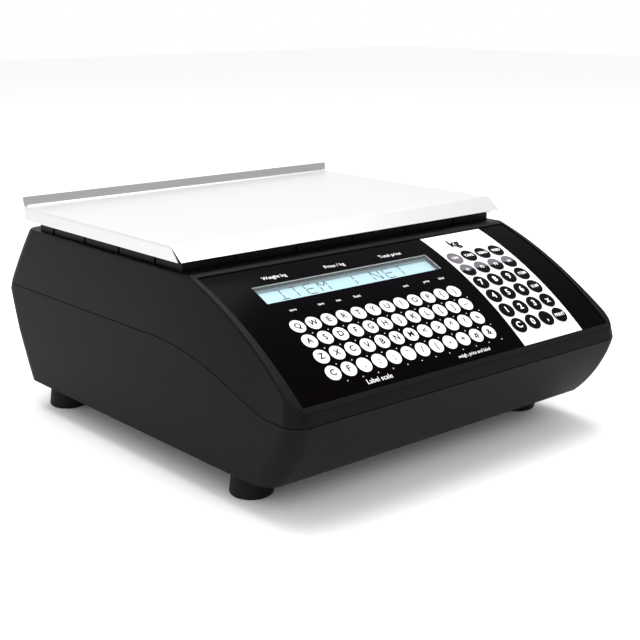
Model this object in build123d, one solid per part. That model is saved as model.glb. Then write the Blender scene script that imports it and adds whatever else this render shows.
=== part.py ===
from build123d import *
import os
from math import acos, asin, atan2, cos, degrees, hypot, pi, radians, sin, sqrt, tan

# A counter-top label printing scale, in millimetres.
# Frame: X to the right, Y to the rear, Z up. The origin is on the table, under the middle
# of the whole object. The front, with the keypad, faces -Y.

# ---------------------------------------------------------------- casing
casing_width = 374.6            # widest, at the parting line
casing_depth = 427.5            # front lip to rear bulge
base_bottom_z = 26.3            # underside of the base, on its feet
rim_z = 168.5                   # flat rim of the cover, beside the platter
shell_wall = 3.0
side_lean_cover = 0.135         # sideways per unit of height, above the parting line
side_lean_base = 0.028          # the same, below the front seam
part_rear_z = 114.5             # height of the parting line along the rear and the sides
part_front_z = 81.7             # height of the parting line at the front
lean_start_drop = 7.0           # the base's sides start to lean this far below the front seam
part_high_radius = 280.0
part_low_radius = 68.0
seam_gap = 0.7                  # open groove between the two shells
front_bulge = 4.6               # how far the curved faces stand out of their chords
rear_base_bulge = 2.3
rear_cover_bulge = 1.6
rear_apex_drop = 5.0            # the rear's furthest point lies this far below the seam
corner_radius = 15.0            # upright corners of both shells
edge_radius = 2.4               # edge between the sloping panel and the sides
tongue_wall = 1.3               # tongue that closes the seam from inside
tongue_gap = 0.2
tongue_height = 3.0
tongue_root = 5.0               # how far the tongue reaches down inside the base

half_width = casing_width / 2
front_y = -casing_depth / 2
rear_y = casing_depth / 2
lean_start_z = part_front_z - lean_start_drop
part_high_y = front_y + 131.65  # corners of the parting line's ramp, before rounding
part_low_y = front_y + 37.85
bottom_front_y = front_y + 35.25    # flat underside, front and rear ends
bottom_rear_y = rear_y - 30.55
rim_rear_y = rear_y - 31.25

# ---------------------------------------------------------------- sloping front panel
bezel_radius = 385.1            # the whole front panel is part of one cylinder along X
bezel_centre_z = rim_z - 365.6
bezel_top_y = front_y + 135.85  # where the cylinder meets the flat rim
bezel_front_z = 91.5            # lower end of the cylinder, above the front lip
bezel_centre_y = bezel_top_y + sqrt(bezel_radius ** 2 - (rim_z - bezel_centre_z) ** 2)
bezel_front_y = bezel_centre_y - sqrt(bezel_radius ** 2 - (bezel_front_z - bezel_centre_z) ** 2)
bezel_top_arc = bezel_radius * asin((bezel_centre_y - bezel_top_y) / bezel_radius)
bezel_front_arc = bezel_radius * asin((bezel_centre_y - bezel_front_y) / bezel_radius)
panel_side_margin = 12.3        # frame of the cover left round the keypad
panel_top_margin = 5.2
panel_front_margin = 5.6
panel_half_width = half_width - panel_side_margin
panel_start = bezel_top_arc + panel_top_margin      # arc lengths from the top of the cylinder
panel_end = bezel_front_arc - panel_front_margin
panel_recess = 0.9
overlay_thickness = 0.5
spacer_thickness = 0.5
circuit_thickness = 0.3
panel_backing = 3.2             # cover wall left under the keypad
backing_margin = 12.0           # how far that wall reaches past the keypad's ends
sheet_gap = 0.25                # all round a sheet in its pocket
window_gap = 0.1                # all round the window in its hole

overlay_radius = bezel_radius - panel_recess
spacer_radius = overlay_radius - overlay_thickness
circuit_radius = spacer_radius - spacer_thickness
pocket_radius = circuit_radius - circuit_thickness
backing_radius = pocket_radius - panel_backing

# letter keys and number keys, by column along X and row along the arc
letter_columns = 12
letter_rows = 4
letter_first_x = -panel_half_width + 43.0
letter_pitch_x = 15.45
letter_first_arc = panel_start + 75.2
letter_pitch_arc = 16.1
number_columns = 4
number_rows = 6
number_strip_x = (panel_half_width - 110.0, panel_half_width - 34.0)
number_strip_arc = (panel_start + 1.3, panel_end - 0.4)
number_strip_thickness = 0.25
number_first_x = number_strip_x[0] + 9.6
number_pitch_x = 17.8
number_first_arc = panel_start + 37.2
number_pitch_arc = 17.45
dome_radius = 5.0
dome_thickness = 0.34
dome_clearance = 0.04           # above the circuit and below the overlay
dome_hole_gap = 0.5

# display window of the operator
window_x = (letter_first_x - 7.8, number_strip_x[0] - 15.0)
window_arc = (panel_start + 23.7, panel_start + 45.7)
window_thickness = 2.2
glass_margin = 4.0              # the glass behind is this much larger than the window
lcd_thickness = 2.8
lcd_clearance = 0.45            # under the curved wall's middle
backlight_thickness = 5.0
backlight_gap = 0.1
lcd_frame_wall = 2.0
lcd_frame_gap = 0.2
lcd_radius = backing_radius - lcd_clearance

# customer's display in the rear face of the cover
rear_window_size = (150.0, 34.0)
rear_window_z = (part_rear_z + rim_z) / 2 - 2.5
rear_window_recess = 0.6
rear_window_thickness = 2.0
rear_ledge = 2.4                # wall behind the window
rear_ledge_width = 4.0          # that the window rests on, all round
rear_glass_depth = rear_window_recess + rear_window_thickness + rear_ledge + 0.1

# ---------------------------------------------------------------- platter
platter_half_width = half_width - 5.8
platter_top_z = rim_z + 20.6
platter_front_y = front_y + 154.8
platter_rear_y = rear_y - 36.5
platter_centre_y = (platter_front_y + platter_rear_y) / 2
platter_sheet = 1.0
platter_bend = 1.6              # inside radius of the folds
front_flange_out = 13.8         # the front flange runs outwards as it drops
flange_drop = 12.0
side_flange_out = 1.5
side_flange_reach = 3.0         # the side flanges end this far behind the front flange's foot
upstand_height = 8.1
upstand_lean = 2.3
mitre_gap = 1.2                 # open slit at the two front corners
fold_cut = 0.4                  # relief beside the folds' ends

# ---------------------------------------------------------------- deck below the platter
plinth_half_width = half_width - 12.3
plinth_front_y = platter_front_y - 5.05
plinth_rear_y = platter_rear_y - 17.25
plinth_z = rim_z + 6.3
plinth_edge_radius = 1.2
notch_width = 3.2
notch_depth = 1.4
notch_pitch = 54.0
notch_rear_margin = 26.0
side_notches = 4
front_notches = 5
front_notch_pitch = 63.0

# ---------------------------------------------------------------- weighing parts
post_x = platter_half_width - 71.5
post_spacing_y = 130.0
post_radius = 6.0
post_hole_radius = post_radius + 3.0
post_flange = 5.0
cap_height = 3.0
cap_overhang = 1.5
hub_radius = 26.0
arm_bottom_z = rim_z - 15.5
arm_height = 8.0
arm_width = 18.0
cell_width = 30.0
cell_height = 22.0
cell_length = 130.0
cell_bottom_z = 60.0
cell_foot_length = 34.0
cell_bore_radius = 8.2
cell_bore_offset = 13.0         # the two bores lie this far either side of the middle
cell_slot_half = 2.5
cell_screw_radius = 3.0
cell_screw_head = (5.0, 3.0)    # radius and height
cell_screw_grip = 12.0          # how far the screws reach into the cell
cell_screw_x = (-9.0, 9.0)
cell_screw_y = (8.0, 26.0)      # from the cell's end
stop_radius = 3.0
stop_gap = 0.8                  # between an overload stop and the cell
stop_x = 8.0
stop_end_margin = 12.0
stop_nut = (5.0, 4.0)           # radius and height
stop_below = 4.0
plate_thickness = 2.0
chassis_z = base_bottom_z + 7.7     # underside of the chassis plate
chassis_inset = 8.0
chassis_screw_radius = 1.6
chassis_screw_head = (3.0, 2.2)     # radius and height
mount_post_radius = 5.0         # posts of the base under the chassis and the printer
floor_bite = 3.0                # blind holes start this far above the base's underside
level_x = -plinth_half_width + 25.0
level_y = plinth_rear_y - 12.0
level_radius = 9.0
level_height = 5.0
level_depth = 2.0               # of its seat in the deck
level_gap = 0.1

# ---------------------------------------------------------------- feet
foot_x = half_width - 30.3
foot_front_y = bottom_front_y + 54.75
foot_rear_y = bottom_rear_y - 24.95
foot_radius = 17.6
foot_top_radius = foot_radius - 3.0
foot_edge = 3.0
foot_gap = 0.3
stud_radius = 4.0
stud_top_z = base_bottom_z + 25.7
stud_hole_gap = 0.5
running_gap = 0.05              # radial clearance of shafts and screws that turn
insert_radius = stud_radius + 2.5
insert_floor = 2.0
boss_radius = insert_radius + 4.5
boss_top_z = base_bottom_z + 19.7

# ---------------------------------------------------------------- screws that hold the cover
cover_screw_x = half_width - 16.3
cover_screw_y = (front_y + 73.75, (front_y + rear_y) / 2 - 22.0, rear_y - 79.75)
screw_radius = 1.95
screw_hole_gap = 0.2
screw_head_radius = 4.0
screw_head_height = 3.0
screw_length = 36.0
screw_pilot = 38.0              # depth of the hole in the cover's column
screw_seat_z = 58.0
column_radius = 5.5
column_split_z = 76.0
column_gap = 0.2
head_gap = 0.3

# ---------------------------------------------------------------- printer
door_y = (12.0, 102.0)
door_top_z = 108.0
door_gap = 0.5
hinge_radius = 2.9
hinge_z = base_bottom_z + 14.9
hinge_pin_radius = 1.5
hinge_pin_length = 14.0
hinge_pin_end_gap = 0.5
hinge_boss_length = 9.0
hinge_boss_half = 6.0
opening_depth = 13.0            # how far the door's opening is cut in from the side
slot_y = (26.0, 88.0)
slot_z = (92.5, 98.9)
grip_radius = 15.5              # scooped finger grip in the door
grip_length = 46.0
grip_depth = 2.0
grip_z = 72.0
magnet_y = (50.0, 64.0)
magnet_z = (101.5, 107.5)
magnet_depth = 5.0
magnet_wall = 2.0
magnet_gap = 0.5                # between the magnet and the strike
magnet_arm_z = (100.0, 110.5)
strike_thickness = 0.6
strike_margin = 1.0

plate_y = (21.0, 91.0)          # outer face of the front plate, inner face of the rear one
frame_length = 109.0
frame_x = (half_width - 12.3 - frame_length, half_width - 12.3)
frame_top_z = 128.0
frame_foot_inset = 12.0
bar_offset = 8.0                # cross bar, from the plates' inner ends
bar_height = 14.0
roll_x = frame_x[1] - 67.0
roll_z = chassis_z + 40.0
roll_radius = 33.0
core_radius = 12.7
core_flange = (6.0, 1.5)        # height and thickness of the spindle's flanges
label_width = 60.0
journal_radius = 4.0
platen_x = frame_x[1] - 12.0
platen_z = slot_z[0] - 5.0
platen_radius = 8.0
platen_shaft_radius = 3.0
platen_end_gap = 1.0
shaft_end = 2.0
bush_radius = platen_shaft_radius + 2.0
gear_module = 1.0
platen_teeth = 24
idler_teeth = 28
pinion_teeth = 12
gear_width = 5.0
gear_gap = 1.0                  # between the rear plate and the gears
pressure_angle = 20.0           # degrees, of the involute flanks
backlash = 0.12                 # the teeth are this much thin at the pitch circle
centre_growth = 0.12            # centres stand this much further apart than the pitch circles touch
idler_pin_radius = 2.0
idler_pin_head = (1.2, 0.8)     # overhang and height
idler_end_gap = 0.3
motor_x = platen_x - 26.0
motor_z = platen_z - 31.5
motor_size = 35.0
motor_length = 26.0
motor_chamfer = 2.5
motor_gear_gap = 2.0
motor_shaft_radius = 1.5
motor_shaft_depth = 11.0
motor_screw_half = 13.0
motor_screw_radius = 1.5
motor_screw_head = (2.8, 1.8)   # radius and height
motor_screw_grip = 4.0
pillar_radius = 2.6
head_pin_x = platen_x - 33.0
head_pin_z = platen_z + 30.0
head_pin_radius = 2.5
head_thickness = 5.0
head_width = label_width + 2.0
head_ahead = 5.0                # how far the print head reaches past the roller's axis
head_behind = 12.0
bracket_behind = 16.0
bracket_plate = 2.0
bracket_margin = 1.0
spring_wire = 0.5
spring_gap = 1.6
spring_turns = 8
spring_pitch = 1.6
nip_gap = 0.15                  # one label's thickness
tear_bar_depth = 2.0
tear_bar_height = 7.6
tear_bar_gap = 0.4
tear_teeth = 26

# ---------------------------------------------------------------- electronics
board_boss_gap = 0.5            # between the main board and the near foot's boss
board_x = (-foot_x + boss_radius + board_boss_gap, -half_width + 181.3)
board_y = (bottom_front_y + 12.5, bottom_front_y + 120.5)
board_z = base_bottom_z + 15.7
board_thickness = 1.6
board_inset = 6.0
board_screw_radius = 1.2
board_post_radius = 4.0
spacer_height = 8.0
spacer_radius_out = 3.2
chassis_x = (-half_width + 39.3, frame_x[0] - 16.0)
chassis_y = (platter_centre_y - 93.15, platter_centre_y + 90.85)
supply_x = (chassis_x[0] + 10.0, chassis_x[0] + 82.0)
supply_y = (chassis_y[0] + 48.0, chassis_y[1] - 24.0)
supply_height = 38.0
supply_edge = 1.5
vent_count = 9
vent_pitch = 9.0
vent_width = 3.0
vent_depth = 1.2
vent_margin = (14.0, 20.0)

# ---------------------------------------------------------------- socket panel
socket_panel_x = (-half_width + 63.3, -half_width + 165.3)
socket_panel_z = (46.0, 86.0)
socket_panel_y = bottom_rear_y + 2.8
socket_panel_lap = 4.0          # the plate lies behind the recess's rim all round
socket_wall = 2.5
panel_thickness = 1.5
flange_thickness = 2.0
inlet_x = socket_panel_x[0] + 21.0
inlet_size = (30.0, 22.0)       # flange
inlet_body = (27.0, 19.6)
inlet_depth = 19.0
inlet_recess = (24.4, 16.6)     # opening for the mating connector
inlet_recess_depth = 16.0
inlet_chamfer = 5.0
pin_size = (4.0, 2.0)
pin_spacing = (7.0, 2.0)
pin_length = 11.0               # that stands in the recess
pin_tail = 9.0                  # that lies behind it
switch_x = socket_panel_x[0] + 52.0
switch_size = (15.0, 21.0)
switch_rim = 1.0
switch_depth = 20.0
switch_well = 14.0
rocker_half_length = 8.0
rocker_width = 9.6
rocker_gap = 0.3
rocker_end_gap = 1.2
rocker_axis_depth = 5.0
rocker_rise = 1.8
rocker_tilt = 10.0              # degrees, pressed in at the top
rocker_pivot_radius = 1.15
rocker_pivot_length = 0.7
network_x = socket_panel_x[0] + 73.0
drawer_x = socket_panel_x[0] + 91.0
jack_size = (14.4, 13.4)
jack_hole = (11.8, 7.6)
drawer_hole = (9.8, 6.8)
jack_latch = (4.4, 2.0)
jack_depth = 15.0
jack_hole_depth = 12.0
jack_proud = 1.0
socket_z = (socket_panel_z[0] + socket_panel_z[1]) / 2


def arc_point(radius, arc):
    """Point (y, z) at a radius, at an arc length measured on the bezel's own radius."""
    angle = arc / bezel_radius
    return (bezel_centre_y - radius * sin(angle), bezel_centre_z + radius * cos(angle))


def panel_place(x, arc, radius):
    """Place on the panel: local x along X, local y up the slope, local z outwards."""
    angle = arc / bezel_radius
    y, z = arc_point(radius, arc)
    return Location(Plane((x, y, z), x_dir=(1, 0, 0), z_dir=(0, -sin(angle), cos(angle))))


def side_face(*edges):
    """Closed face in the YZ plane from edges drawn with local x as Y and local y as Z."""
    return Plane.YZ * make_face(edges)


def along_x(face, x_low, x_high):
    """Prism of a YZ face between two places on X."""
    return Pos(x_low, 0, 0) * extrude(face, amount=x_high - x_low)


def along_y(sketch, y_low, y_high):
    """Prism of a sketch drawn with local x as X and local y as Z."""
    return Pos(0, y_low, 0) * extrude(Plane.XZ * sketch, amount=-(y_high - y_low))


def block(x, y, z):
    """Box between pairs of corner values."""
    size = (x[1] - x[0], y[1] - y[0], z[1] - z[0])
    centre = ((x[0] + x[1]) / 2, (y[0] + y[1]) / 2, (z[0] + z[1]) / 2)
    return Pos(*centre) * Box(*size)


def post(x, y, z_low, z_high, radius):
    """Upright cylinder between two heights."""
    return Pos(x, y, (z_low + z_high) / 2) * Cylinder(radius, z_high - z_low)


def rod(x, z, y_low, y_high, radius):
    """Cylinder along Y between two places."""
    return Pos(x, (y_low + y_high) / 2, z) * Rot(90, 0, 0) * Cylinder(radius, y_high - y_low)


def tube(x, z, y_low, y_high, outer, inner):
    """Hollow cylinder along Y."""
    return rod(x, z, y_low, y_high, outer) - rod(x, z, y_low - 1, y_high + 1, inner)


def curved_sheet(x, arc, inner, outer):
    """Part of a cylindrical sheet between two X values, two arc lengths and two radii."""
    middle = (arc[0] + arc[1]) / 2
    low_in, low_out = arc_point(inner, arc[0]), arc_point(outer, arc[0])
    high_in, high_out = arc_point(inner, arc[1]), arc_point(outer, arc[1])
    face = side_face(
        ThreePointArc(low_out, arc_point(outer, middle), high_out),
        Line(high_out, high_in),
        ThreePointArc(high_in, arc_point(inner, middle), low_in),
        Line(low_in, low_out),
    )
    return along_x(face, x[0], x[1])


def bulged(start, end, bulge):
    """Arc between two points that stands out of its chord to the left of start to end."""
    dy, dz = end[0] - start[0], end[1] - start[1]
    length = hypot(dy, dz)
    middle = ((start[0] + end[0]) / 2 + bulge * dz / length, (start[1] + end[1]) / 2 - bulge * dy / length)
    return ThreePointArc(start, middle, end)


# ---------------------------------------------------------------- the two shells
def casing_outline(inset):
    """Side view of the closed casing, pulled in by a wall."""
    lip = (front_y, part_front_z)
    bezel_front = (bezel_front_y, bezel_front_z)
    bezel_top = (bezel_top_y, rim_z)
    bezel_middle = arc_point(bezel_radius, (bezel_top_arc + bezel_front_arc) / 2)
    rear = (rear_y, part_rear_z - rear_apex_drop)
    face = make_face([
        bulged(lip, (bottom_front_y, base_bottom_z), front_bulge),
        Line((bottom_front_y, base_bottom_z), (bottom_rear_y, base_bottom_z)),
        bulged((bottom_rear_y, base_bottom_z), rear, rear_base_bulge),
        bulged(rear, (rim_rear_y, rim_z), rear_cover_bulge),
        Line((rim_rear_y, rim_z), bezel_top),
        ThreePointArc(bezel_top, bezel_middle, bezel_front),
        Line(bezel_front, lip),
    ])
    if inset > 0:
        face = offset(face, amount=-inset, kind=Kind.INTERSECTION)
    return Plane.YZ * face


def parting_edges(lift):
    """The parting line in side view, from front to rear, moved up by lift."""
    far = casing_depth
    points = [(-far, part_front_z + lift), (part_low_y, part_front_z + lift),
              (part_high_y, part_rear_z + lift), (far, part_rear_z + lift)]
    return FilletPolyline(*points, radius=[part_low_radius, part_high_radius])


def beyond_parting(lift, upwards):
    """Side view face of all that lies above, or below, the parting line."""
    far = casing_depth
    limit = 3 * far if upwards else -3 * far
    line = parting_edges(lift)
    corners = [(far, part_rear_z + lift), (far, limit), (-far, limit), (-far, part_front_z + lift)]
    return side_face(line, Polyline(*corners))


def leaning_cover(inset):
    """All that lies within the cover's leaning sides, which start at the parting line."""
    rise = 160.0
    start = half_width - inset
    face = Pos(start, 0, 0) * beyond_parting(0, False)
    direction = Vector(-rise * side_lean_cover, 0, rise)
    right = extrude(face, amount=direction.length, dir=direction.normalized())
    core = start - rise * side_lean_cover
    middle = block((-core, core), (front_y - 50, rear_y + 50), (-400, 400))
    return middle + right + mirror(right, about=Plane.YZ)


def leaning_base(inset):
    """All that lies within the base's sides, upright down to just below the front seam, then leaning in."""
    start = half_width - inset
    low = base_bottom_z - 10
    foot = start - side_lean_base * (lean_start_z - low)
    outline = Polyline((-start, 300), (-start, lean_start_z), (-foot, low), (foot, low),
                       (start, lean_start_z), (start, 300), close=True)
    return along_y(make_face(outline), front_y - 50, rear_y + 50)


def casing(inset):
    """The whole casing as one closed block, pulled in by a wall on every side."""
    body = extrude(casing_outline(inset), amount=half_width, both=True)
    return body & leaning_cover(inset) & leaning_base(inset)


def upright_edges(body):
    """Edges at the four upright corners of a casing block."""
    edges = []
    for edge in body.edges():
        box = edge.bounding_box()
        if abs((edge @ 0.5).X) < plinth_half_width - 2 or box.max.Z - box.min.Z < 0.02:
            continue
        at_front = box.max.Z < bezel_front_z + 1 and box.max.Y < bottom_front_y + 8
        if at_front or box.min.Y > bottom_rear_y - 8:
            edges.append(edge)
    return edges


def rounded_casing(inset):
    """The casing block with its upright corners rounded."""
    body = casing(inset)
    return fillet(upright_edges(body), corner_radius - inset)


def above_parting(lift):
    return extrude(beyond_parting(lift, True), amount=casing_width, both=True)


def below_parting(lift):
    return extrude(beyond_parting(lift, False), amount=casing_width, both=True)


casing_outside = rounded_casing(0)
casing_inside = rounded_casing(shell_wall)


def bezel_edges(body):
    """Edges round the outside of the sloping panel, all on the panel's own cylinder."""
    edges = []
    for edge in body.edges():
        middle = edge @ 0.5
        radius = hypot(middle.Y - bezel_centre_y, middle.Z - bezel_centre_z)
        if abs(radius - bezel_radius) < 0.05 and middle.Y < bezel_top_y - 0.5:
            edges.append(edge)
    return edges


def rim_edges(body):
    """Edges round the flat rim, without the one it shares with the sloping panel."""
    edges = []
    for edge in body.edges():
        box = edge.bounding_box()
        if box.min.Z > rim_z - 0.01 and box.max.Y > bezel_top_y + 5:
            edges.append(edge)
    return edges


def rear_display_place(depth):
    """Place on the rear face of the cover, at a depth below it: local x to the left seen from behind."""
    low = (rear_y, part_rear_z - rear_apex_drop)
    dy, dz = rim_rear_y - low[0], rim_z - low[1]
    length = hypot(dy, dz)
    share = (rear_window_z - low[1]) / dz
    out = (dz / length, -dy / length)
    stand = rear_cover_bulge - depth
    origin = (0, low[0] + share * dy + out[0] * stand, rear_window_z + out[1] * stand)
    return Location(Plane(origin, x_dir=(-1, 0, 0), z_dir=(0, out[0], out[1])))


def rear_slab(margin, depth_low, depth_high):
    """Flat slab in the rear display's plane, larger than the window by a margin."""
    width, height = rear_window_size
    middle = (depth_low + depth_high) / 2
    slab = Box(width + 2 * margin, height + 2 * margin, depth_high - depth_low)
    return rear_display_place(middle) * slab


def cover_screw_places():
    """The six screws that hold the cover to the base."""
    return [(side * cover_screw_x, y) for side in (-1, 1) for y in cover_screw_y]


def post_places():
    """The four places where the platter is carried."""
    half = post_spacing_y / 2
    return [(sx * post_x, platter_centre_y + sy * half) for sx in (-1, 1) for sy in (-1, 1)]


def make_top_cover():
    body = casing_outside & above_parting(seam_gap / 2)
    body = fillet(bezel_edges(body), edge_radius)
    body = fillet(rim_edges(body), edge_radius)
    skin = body - casing_inside
    backing_arc = (panel_start - backing_margin - 4, panel_end + backing_margin)
    backing = curved_sheet((-half_width, half_width), backing_arc, backing_radius, bezel_radius - 1)
    skin += backing & casing_inside & above_parting(tongue_height + 1)
    skin = cut_keypad_pocket(skin)
    skin = add_plinth(skin)
    for x, y in cover_screw_places():
        column = post(x, y, column_split_z + column_gap, rim_z, column_radius)
        skin += column & casing_inside
        skin -= post(x, y, column_split_z - 1, screw_seat_z + screw_pilot, screw_radius)
    wall = rear_window_recess + rear_window_thickness
    skin += rear_slab(3, 1.5, wall + rear_ledge) & casing_outside
    skin -= rear_slab(sheet_gap, -8, wall)
    skin -= rear_slab(-rear_ledge_width, -8, wall + rear_ledge + 5)
    return skin - level_seat()


def cut_keypad_pocket(skin):
    """Sink the pocket of the keypad's sheets and the hole behind the operator's window."""
    wide = panel_half_width + sheet_gap
    arc = (panel_start - sheet_gap, panel_end + sheet_gap)
    skin -= curved_sheet((-wide, wide), arc, pocket_radius, bezel_radius + 5)
    return skin - curved_sheet(window_x, window_arc, backing_radius - 4, pocket_radius + 1)


def add_plinth(skin):
    """Raise the deck under the platter, open it below, and cut its post holes and wall grooves."""
    y = (plinth_front_y, plinth_rear_y)
    plinth = block((-plinth_half_width, plinth_half_width), y, (rim_z - 1, plinth_z))
    skin += fillet(plinth.edges().group_by(Axis.Z)[-1], plinth_edge_radius)
    inner_x = plinth_half_width - shell_wall
    inner_y = (y[0] + shell_wall, y[1] - shell_wall)
    skin -= block((-inner_x, inner_x), inner_y, (rim_z - shell_wall - 2, plinth_z - shell_wall))
    for place in post_places():
        skin -= post(*place, plinth_z - 10, plinth_z + 5, post_hole_radius)
    groove_z = (rim_z, plinth_z + 1)
    for groove_y in notch_places():
        for side in (-1, 1):
            x = side * plinth_half_width
            skin -= block((x - notch_depth, x + notch_depth), (groove_y, groove_y + notch_width), groove_z)
    for step in range(front_notches):
        x = (step - (front_notches - 1) / 2) * front_notch_pitch
        skin -= block((x, x + notch_width), (y[0] - 1, y[0] + notch_depth), groove_z)
    return skin


def notch_places():
    """Upright grooves in the deck's side walls, from the rear forwards."""
    return [plinth_rear_y - notch_rear_margin - notch_pitch * step for step in range(side_notches)]


def level_seat():
    """Round seat of the spirit level in the deck."""
    return post(level_x, level_y, plinth_z - level_depth, plinth_z + 5, level_radius + level_gap)


def make_base_shell():
    body = casing_outside & below_parting(-seam_gap / 2)
    shell = body - casing_inside
    outer = shell_wall + tongue_gap
    tongue_core = rounded_casing(outer + tongue_wall)
    low = rounded_casing(shell_wall - 0.4) - tongue_core
    high = rounded_casing(outer) - tongue_core
    shell += low & below_parting(-seam_gap / 2) & above_parting(-tongue_root)
    shell += high & below_parting(tongue_height) & above_parting(-seam_gap / 2 - 0.1)
    below = base_bottom_z - 1
    for x, y in foot_places():
        shell += post(x, y, base_bottom_z, boss_top_z, boss_radius)
        shell -= post(x, y, base_bottom_z + insert_floor, boss_top_z + 1, insert_radius)
        shell -= post(x, y, below, boss_top_z + 1, stud_radius + stud_hole_gap)
    for x, y in cover_screw_places():
        shell += post(x, y, base_bottom_z, column_split_z, column_radius) & casing_outside
        shell -= post(x, y, below, screw_seat_z, screw_head_radius + head_gap)
        shell -= post(x, y, below, column_split_z + 1, screw_radius + screw_hole_gap)
    for x, y in chassis_corners() + frame_foot_places():
        shell += post(x, y, base_bottom_z + 1, chassis_z, mount_post_radius)
        shell -= post(x, y, base_bottom_z + floor_bite, chassis_z + 1, chassis_screw_radius)
    for x, y in board_corners():
        shell += post(x, y, base_bottom_z + 1, board_z - spacer_height, board_post_radius)
        shell -= post(x, y, base_bottom_z + floor_bite, board_z, board_screw_radius)
    shell += socket_tunnel()
    shell -= block(socket_panel_x, (socket_panel_y - 20, rear_y + 20), socket_panel_z)
    shell += hinge_bosses() & casing_outside
    shell -= door_opening()
    shell += magnet_boss()
    shell -= magnet_block()
    for pin in hinge_rods(hinge_pin_radius, 0.0):
        shell -= pin
    return shell


def foot_places():
    """The four feet, front to rear on the left, then on the right."""
    return [(sx * foot_x, y) for sx in (-1, 1) for y in (foot_front_y, foot_rear_y)]


def corners(x, y, inset):
    """Four corner places of a rectangle, pulled in by an inset."""
    return [(cx, cy) for cx in (x[0] + inset, x[1] - inset) for cy in (y[0] + inset, y[1] - inset)]


def chassis_corners():
    return corners(chassis_x, chassis_y, chassis_inset)


def board_corners():
    return corners(board_x, board_y, board_inset)


def socket_tunnel():
    """Walls of the recess that holds the sockets, through the sloping rear wall."""
    x = (socket_panel_x[0] - socket_wall, socket_panel_x[1] + socket_wall)
    z = (socket_panel_z[0] - socket_wall, socket_panel_z[1] + socket_wall)
    return block(x, (socket_panel_y, rear_y + 5), z) & casing_outside


# ---------------------------------------------------------------- keypad and operator display
def letter_key_places():
    return [(letter_first_x + letter_pitch_x * column, letter_first_arc + letter_pitch_arc * row)
            for row in range(letter_rows) for column in range(letter_columns)]


def number_key_places():
    return [(number_first_x + number_pitch_x * column, number_first_arc + number_pitch_arc * row)
            for row in range(number_rows) for column in range(number_columns)]


def panel_sheet(inner, outer):
    """One full sheet of the keypad, with the window cut out."""
    sheet = curved_sheet((-panel_half_width, panel_half_width), (panel_start, panel_end), inner, outer)
    hole_x = (window_x[0] - window_gap, window_x[1] + window_gap)
    hole_arc = (window_arc[0] - window_gap, window_arc[1] + window_gap)
    return sheet - curved_sheet(hole_x, hole_arc, inner - 2, outer + 2)


def make_keypad_overlay():
    return panel_sheet(spacer_radius, overlay_radius)


def make_number_overlay():
    outer = overlay_radius + number_strip_thickness
    return curved_sheet(number_strip_x, number_strip_arc, overlay_radius, outer)


def make_key_spacer():
    sheet = panel_sheet(circuit_radius, spacer_radius)
    holes = []
    for x, arc in letter_key_places() + number_key_places():
        hole = panel_place(x, arc, circuit_radius) * Cylinder(dome_radius + dome_hole_gap, 6)
        holes.append(hole)
    return sheet - holes


def make_snap_domes():
    domes = []
    for x, arc in letter_key_places() + number_key_places():
        rise = circuit_radius + dome_clearance + dome_thickness / 2
        domes.append(panel_place(x, arc, rise) * Cylinder(dome_radius, dome_thickness))
    return Compound(children=domes)


def make_key_circuit():
    return panel_sheet(pocket_radius, circuit_radius)


def make_display_window():
    return curved_sheet(window_x, window_arc, overlay_radius - window_thickness, overlay_radius)


def display_slab(margin, top_radius, thickness):
    """Flat slab under the operator's window, larger than it by a margin."""
    width = window_x[1] - window_x[0] + 2 * margin
    depth = window_arc[1] - window_arc[0] + 2 * margin
    middle = (sum(window_x) / 2, sum(window_arc) / 2)
    return panel_place(*middle, top_radius - thickness / 2) * Box(width, depth, thickness)


def make_lcd_glass():
    return display_slab(glass_margin, lcd_radius, lcd_thickness)


def make_lcd_backlight():
    return display_slab(glass_margin, lcd_radius - lcd_thickness - backlight_gap, backlight_thickness)


def make_lcd_frame():
    depth = lcd_thickness + backlight_gap + backlight_thickness + lcd_frame_gap
    rim = glass_margin + lcd_frame_gap
    outer = display_slab(rim + lcd_frame_wall, lcd_radius, depth + lcd_frame_wall)
    return outer - display_slab(rim, lcd_radius + 1, depth + 1)


# ---------------------------------------------------------------- rear display
def make_rear_window():
    return rear_slab(0, rear_window_recess, rear_window_recess + rear_window_thickness)


def make_rear_lcd():
    return rear_slab(-1, rear_glass_depth, rear_glass_depth + lcd_thickness)


# ---------------------------------------------------------------- platter and what carries it
def mitre(points, offset_distance):
    """Points of a polyline moved sideways, to the left of its direction, by a distance."""
    moved = []
    for index, point in enumerate(points):
        before = points[max(index - 1, 0)]
        after = points[min(index + 1, len(points) - 1)]
        normals = []
        for start, end in ((before, point), (point, after)):
            length = hypot(end[0] - start[0], end[1] - start[1])
            if length > 0:
                normals.append((-(end[1] - start[1]) / length, (end[0] - start[0]) / length))
        total = (sum(n[0] for n in normals), sum(n[1] for n in normals))
        scale = len(normals) / (total[0] ** 2 + total[1] ** 2)
        step = offset_distance * scale
        moved.append((point[0] + step * total[0], point[1] + step * total[1]))
    return moved


def bent_sheet(points, thickness, radii):
    """Side view of a folded sheet: points on its right side, radii of the bends there."""
    turns = []
    for before, point, after in zip(points, points[1:], points[2:]):
        cross = (point[0] - before[0]) * (after[1] - point[1]) - (point[1] - before[1]) * (after[0] - point[0])
        turns.append(1 if cross > 0 else -1)
    other = mitre(points, thickness)
    other_radii = [radius - turn * thickness for radius, turn in zip(radii, turns)]
    right = FilletPolyline(*points, radius=list(radii))
    left = FilletPolyline(*other, radius=other_radii)
    return side_face(right, Line(points[-1], other[-1]), left, Line(other[0], points[0]))


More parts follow.
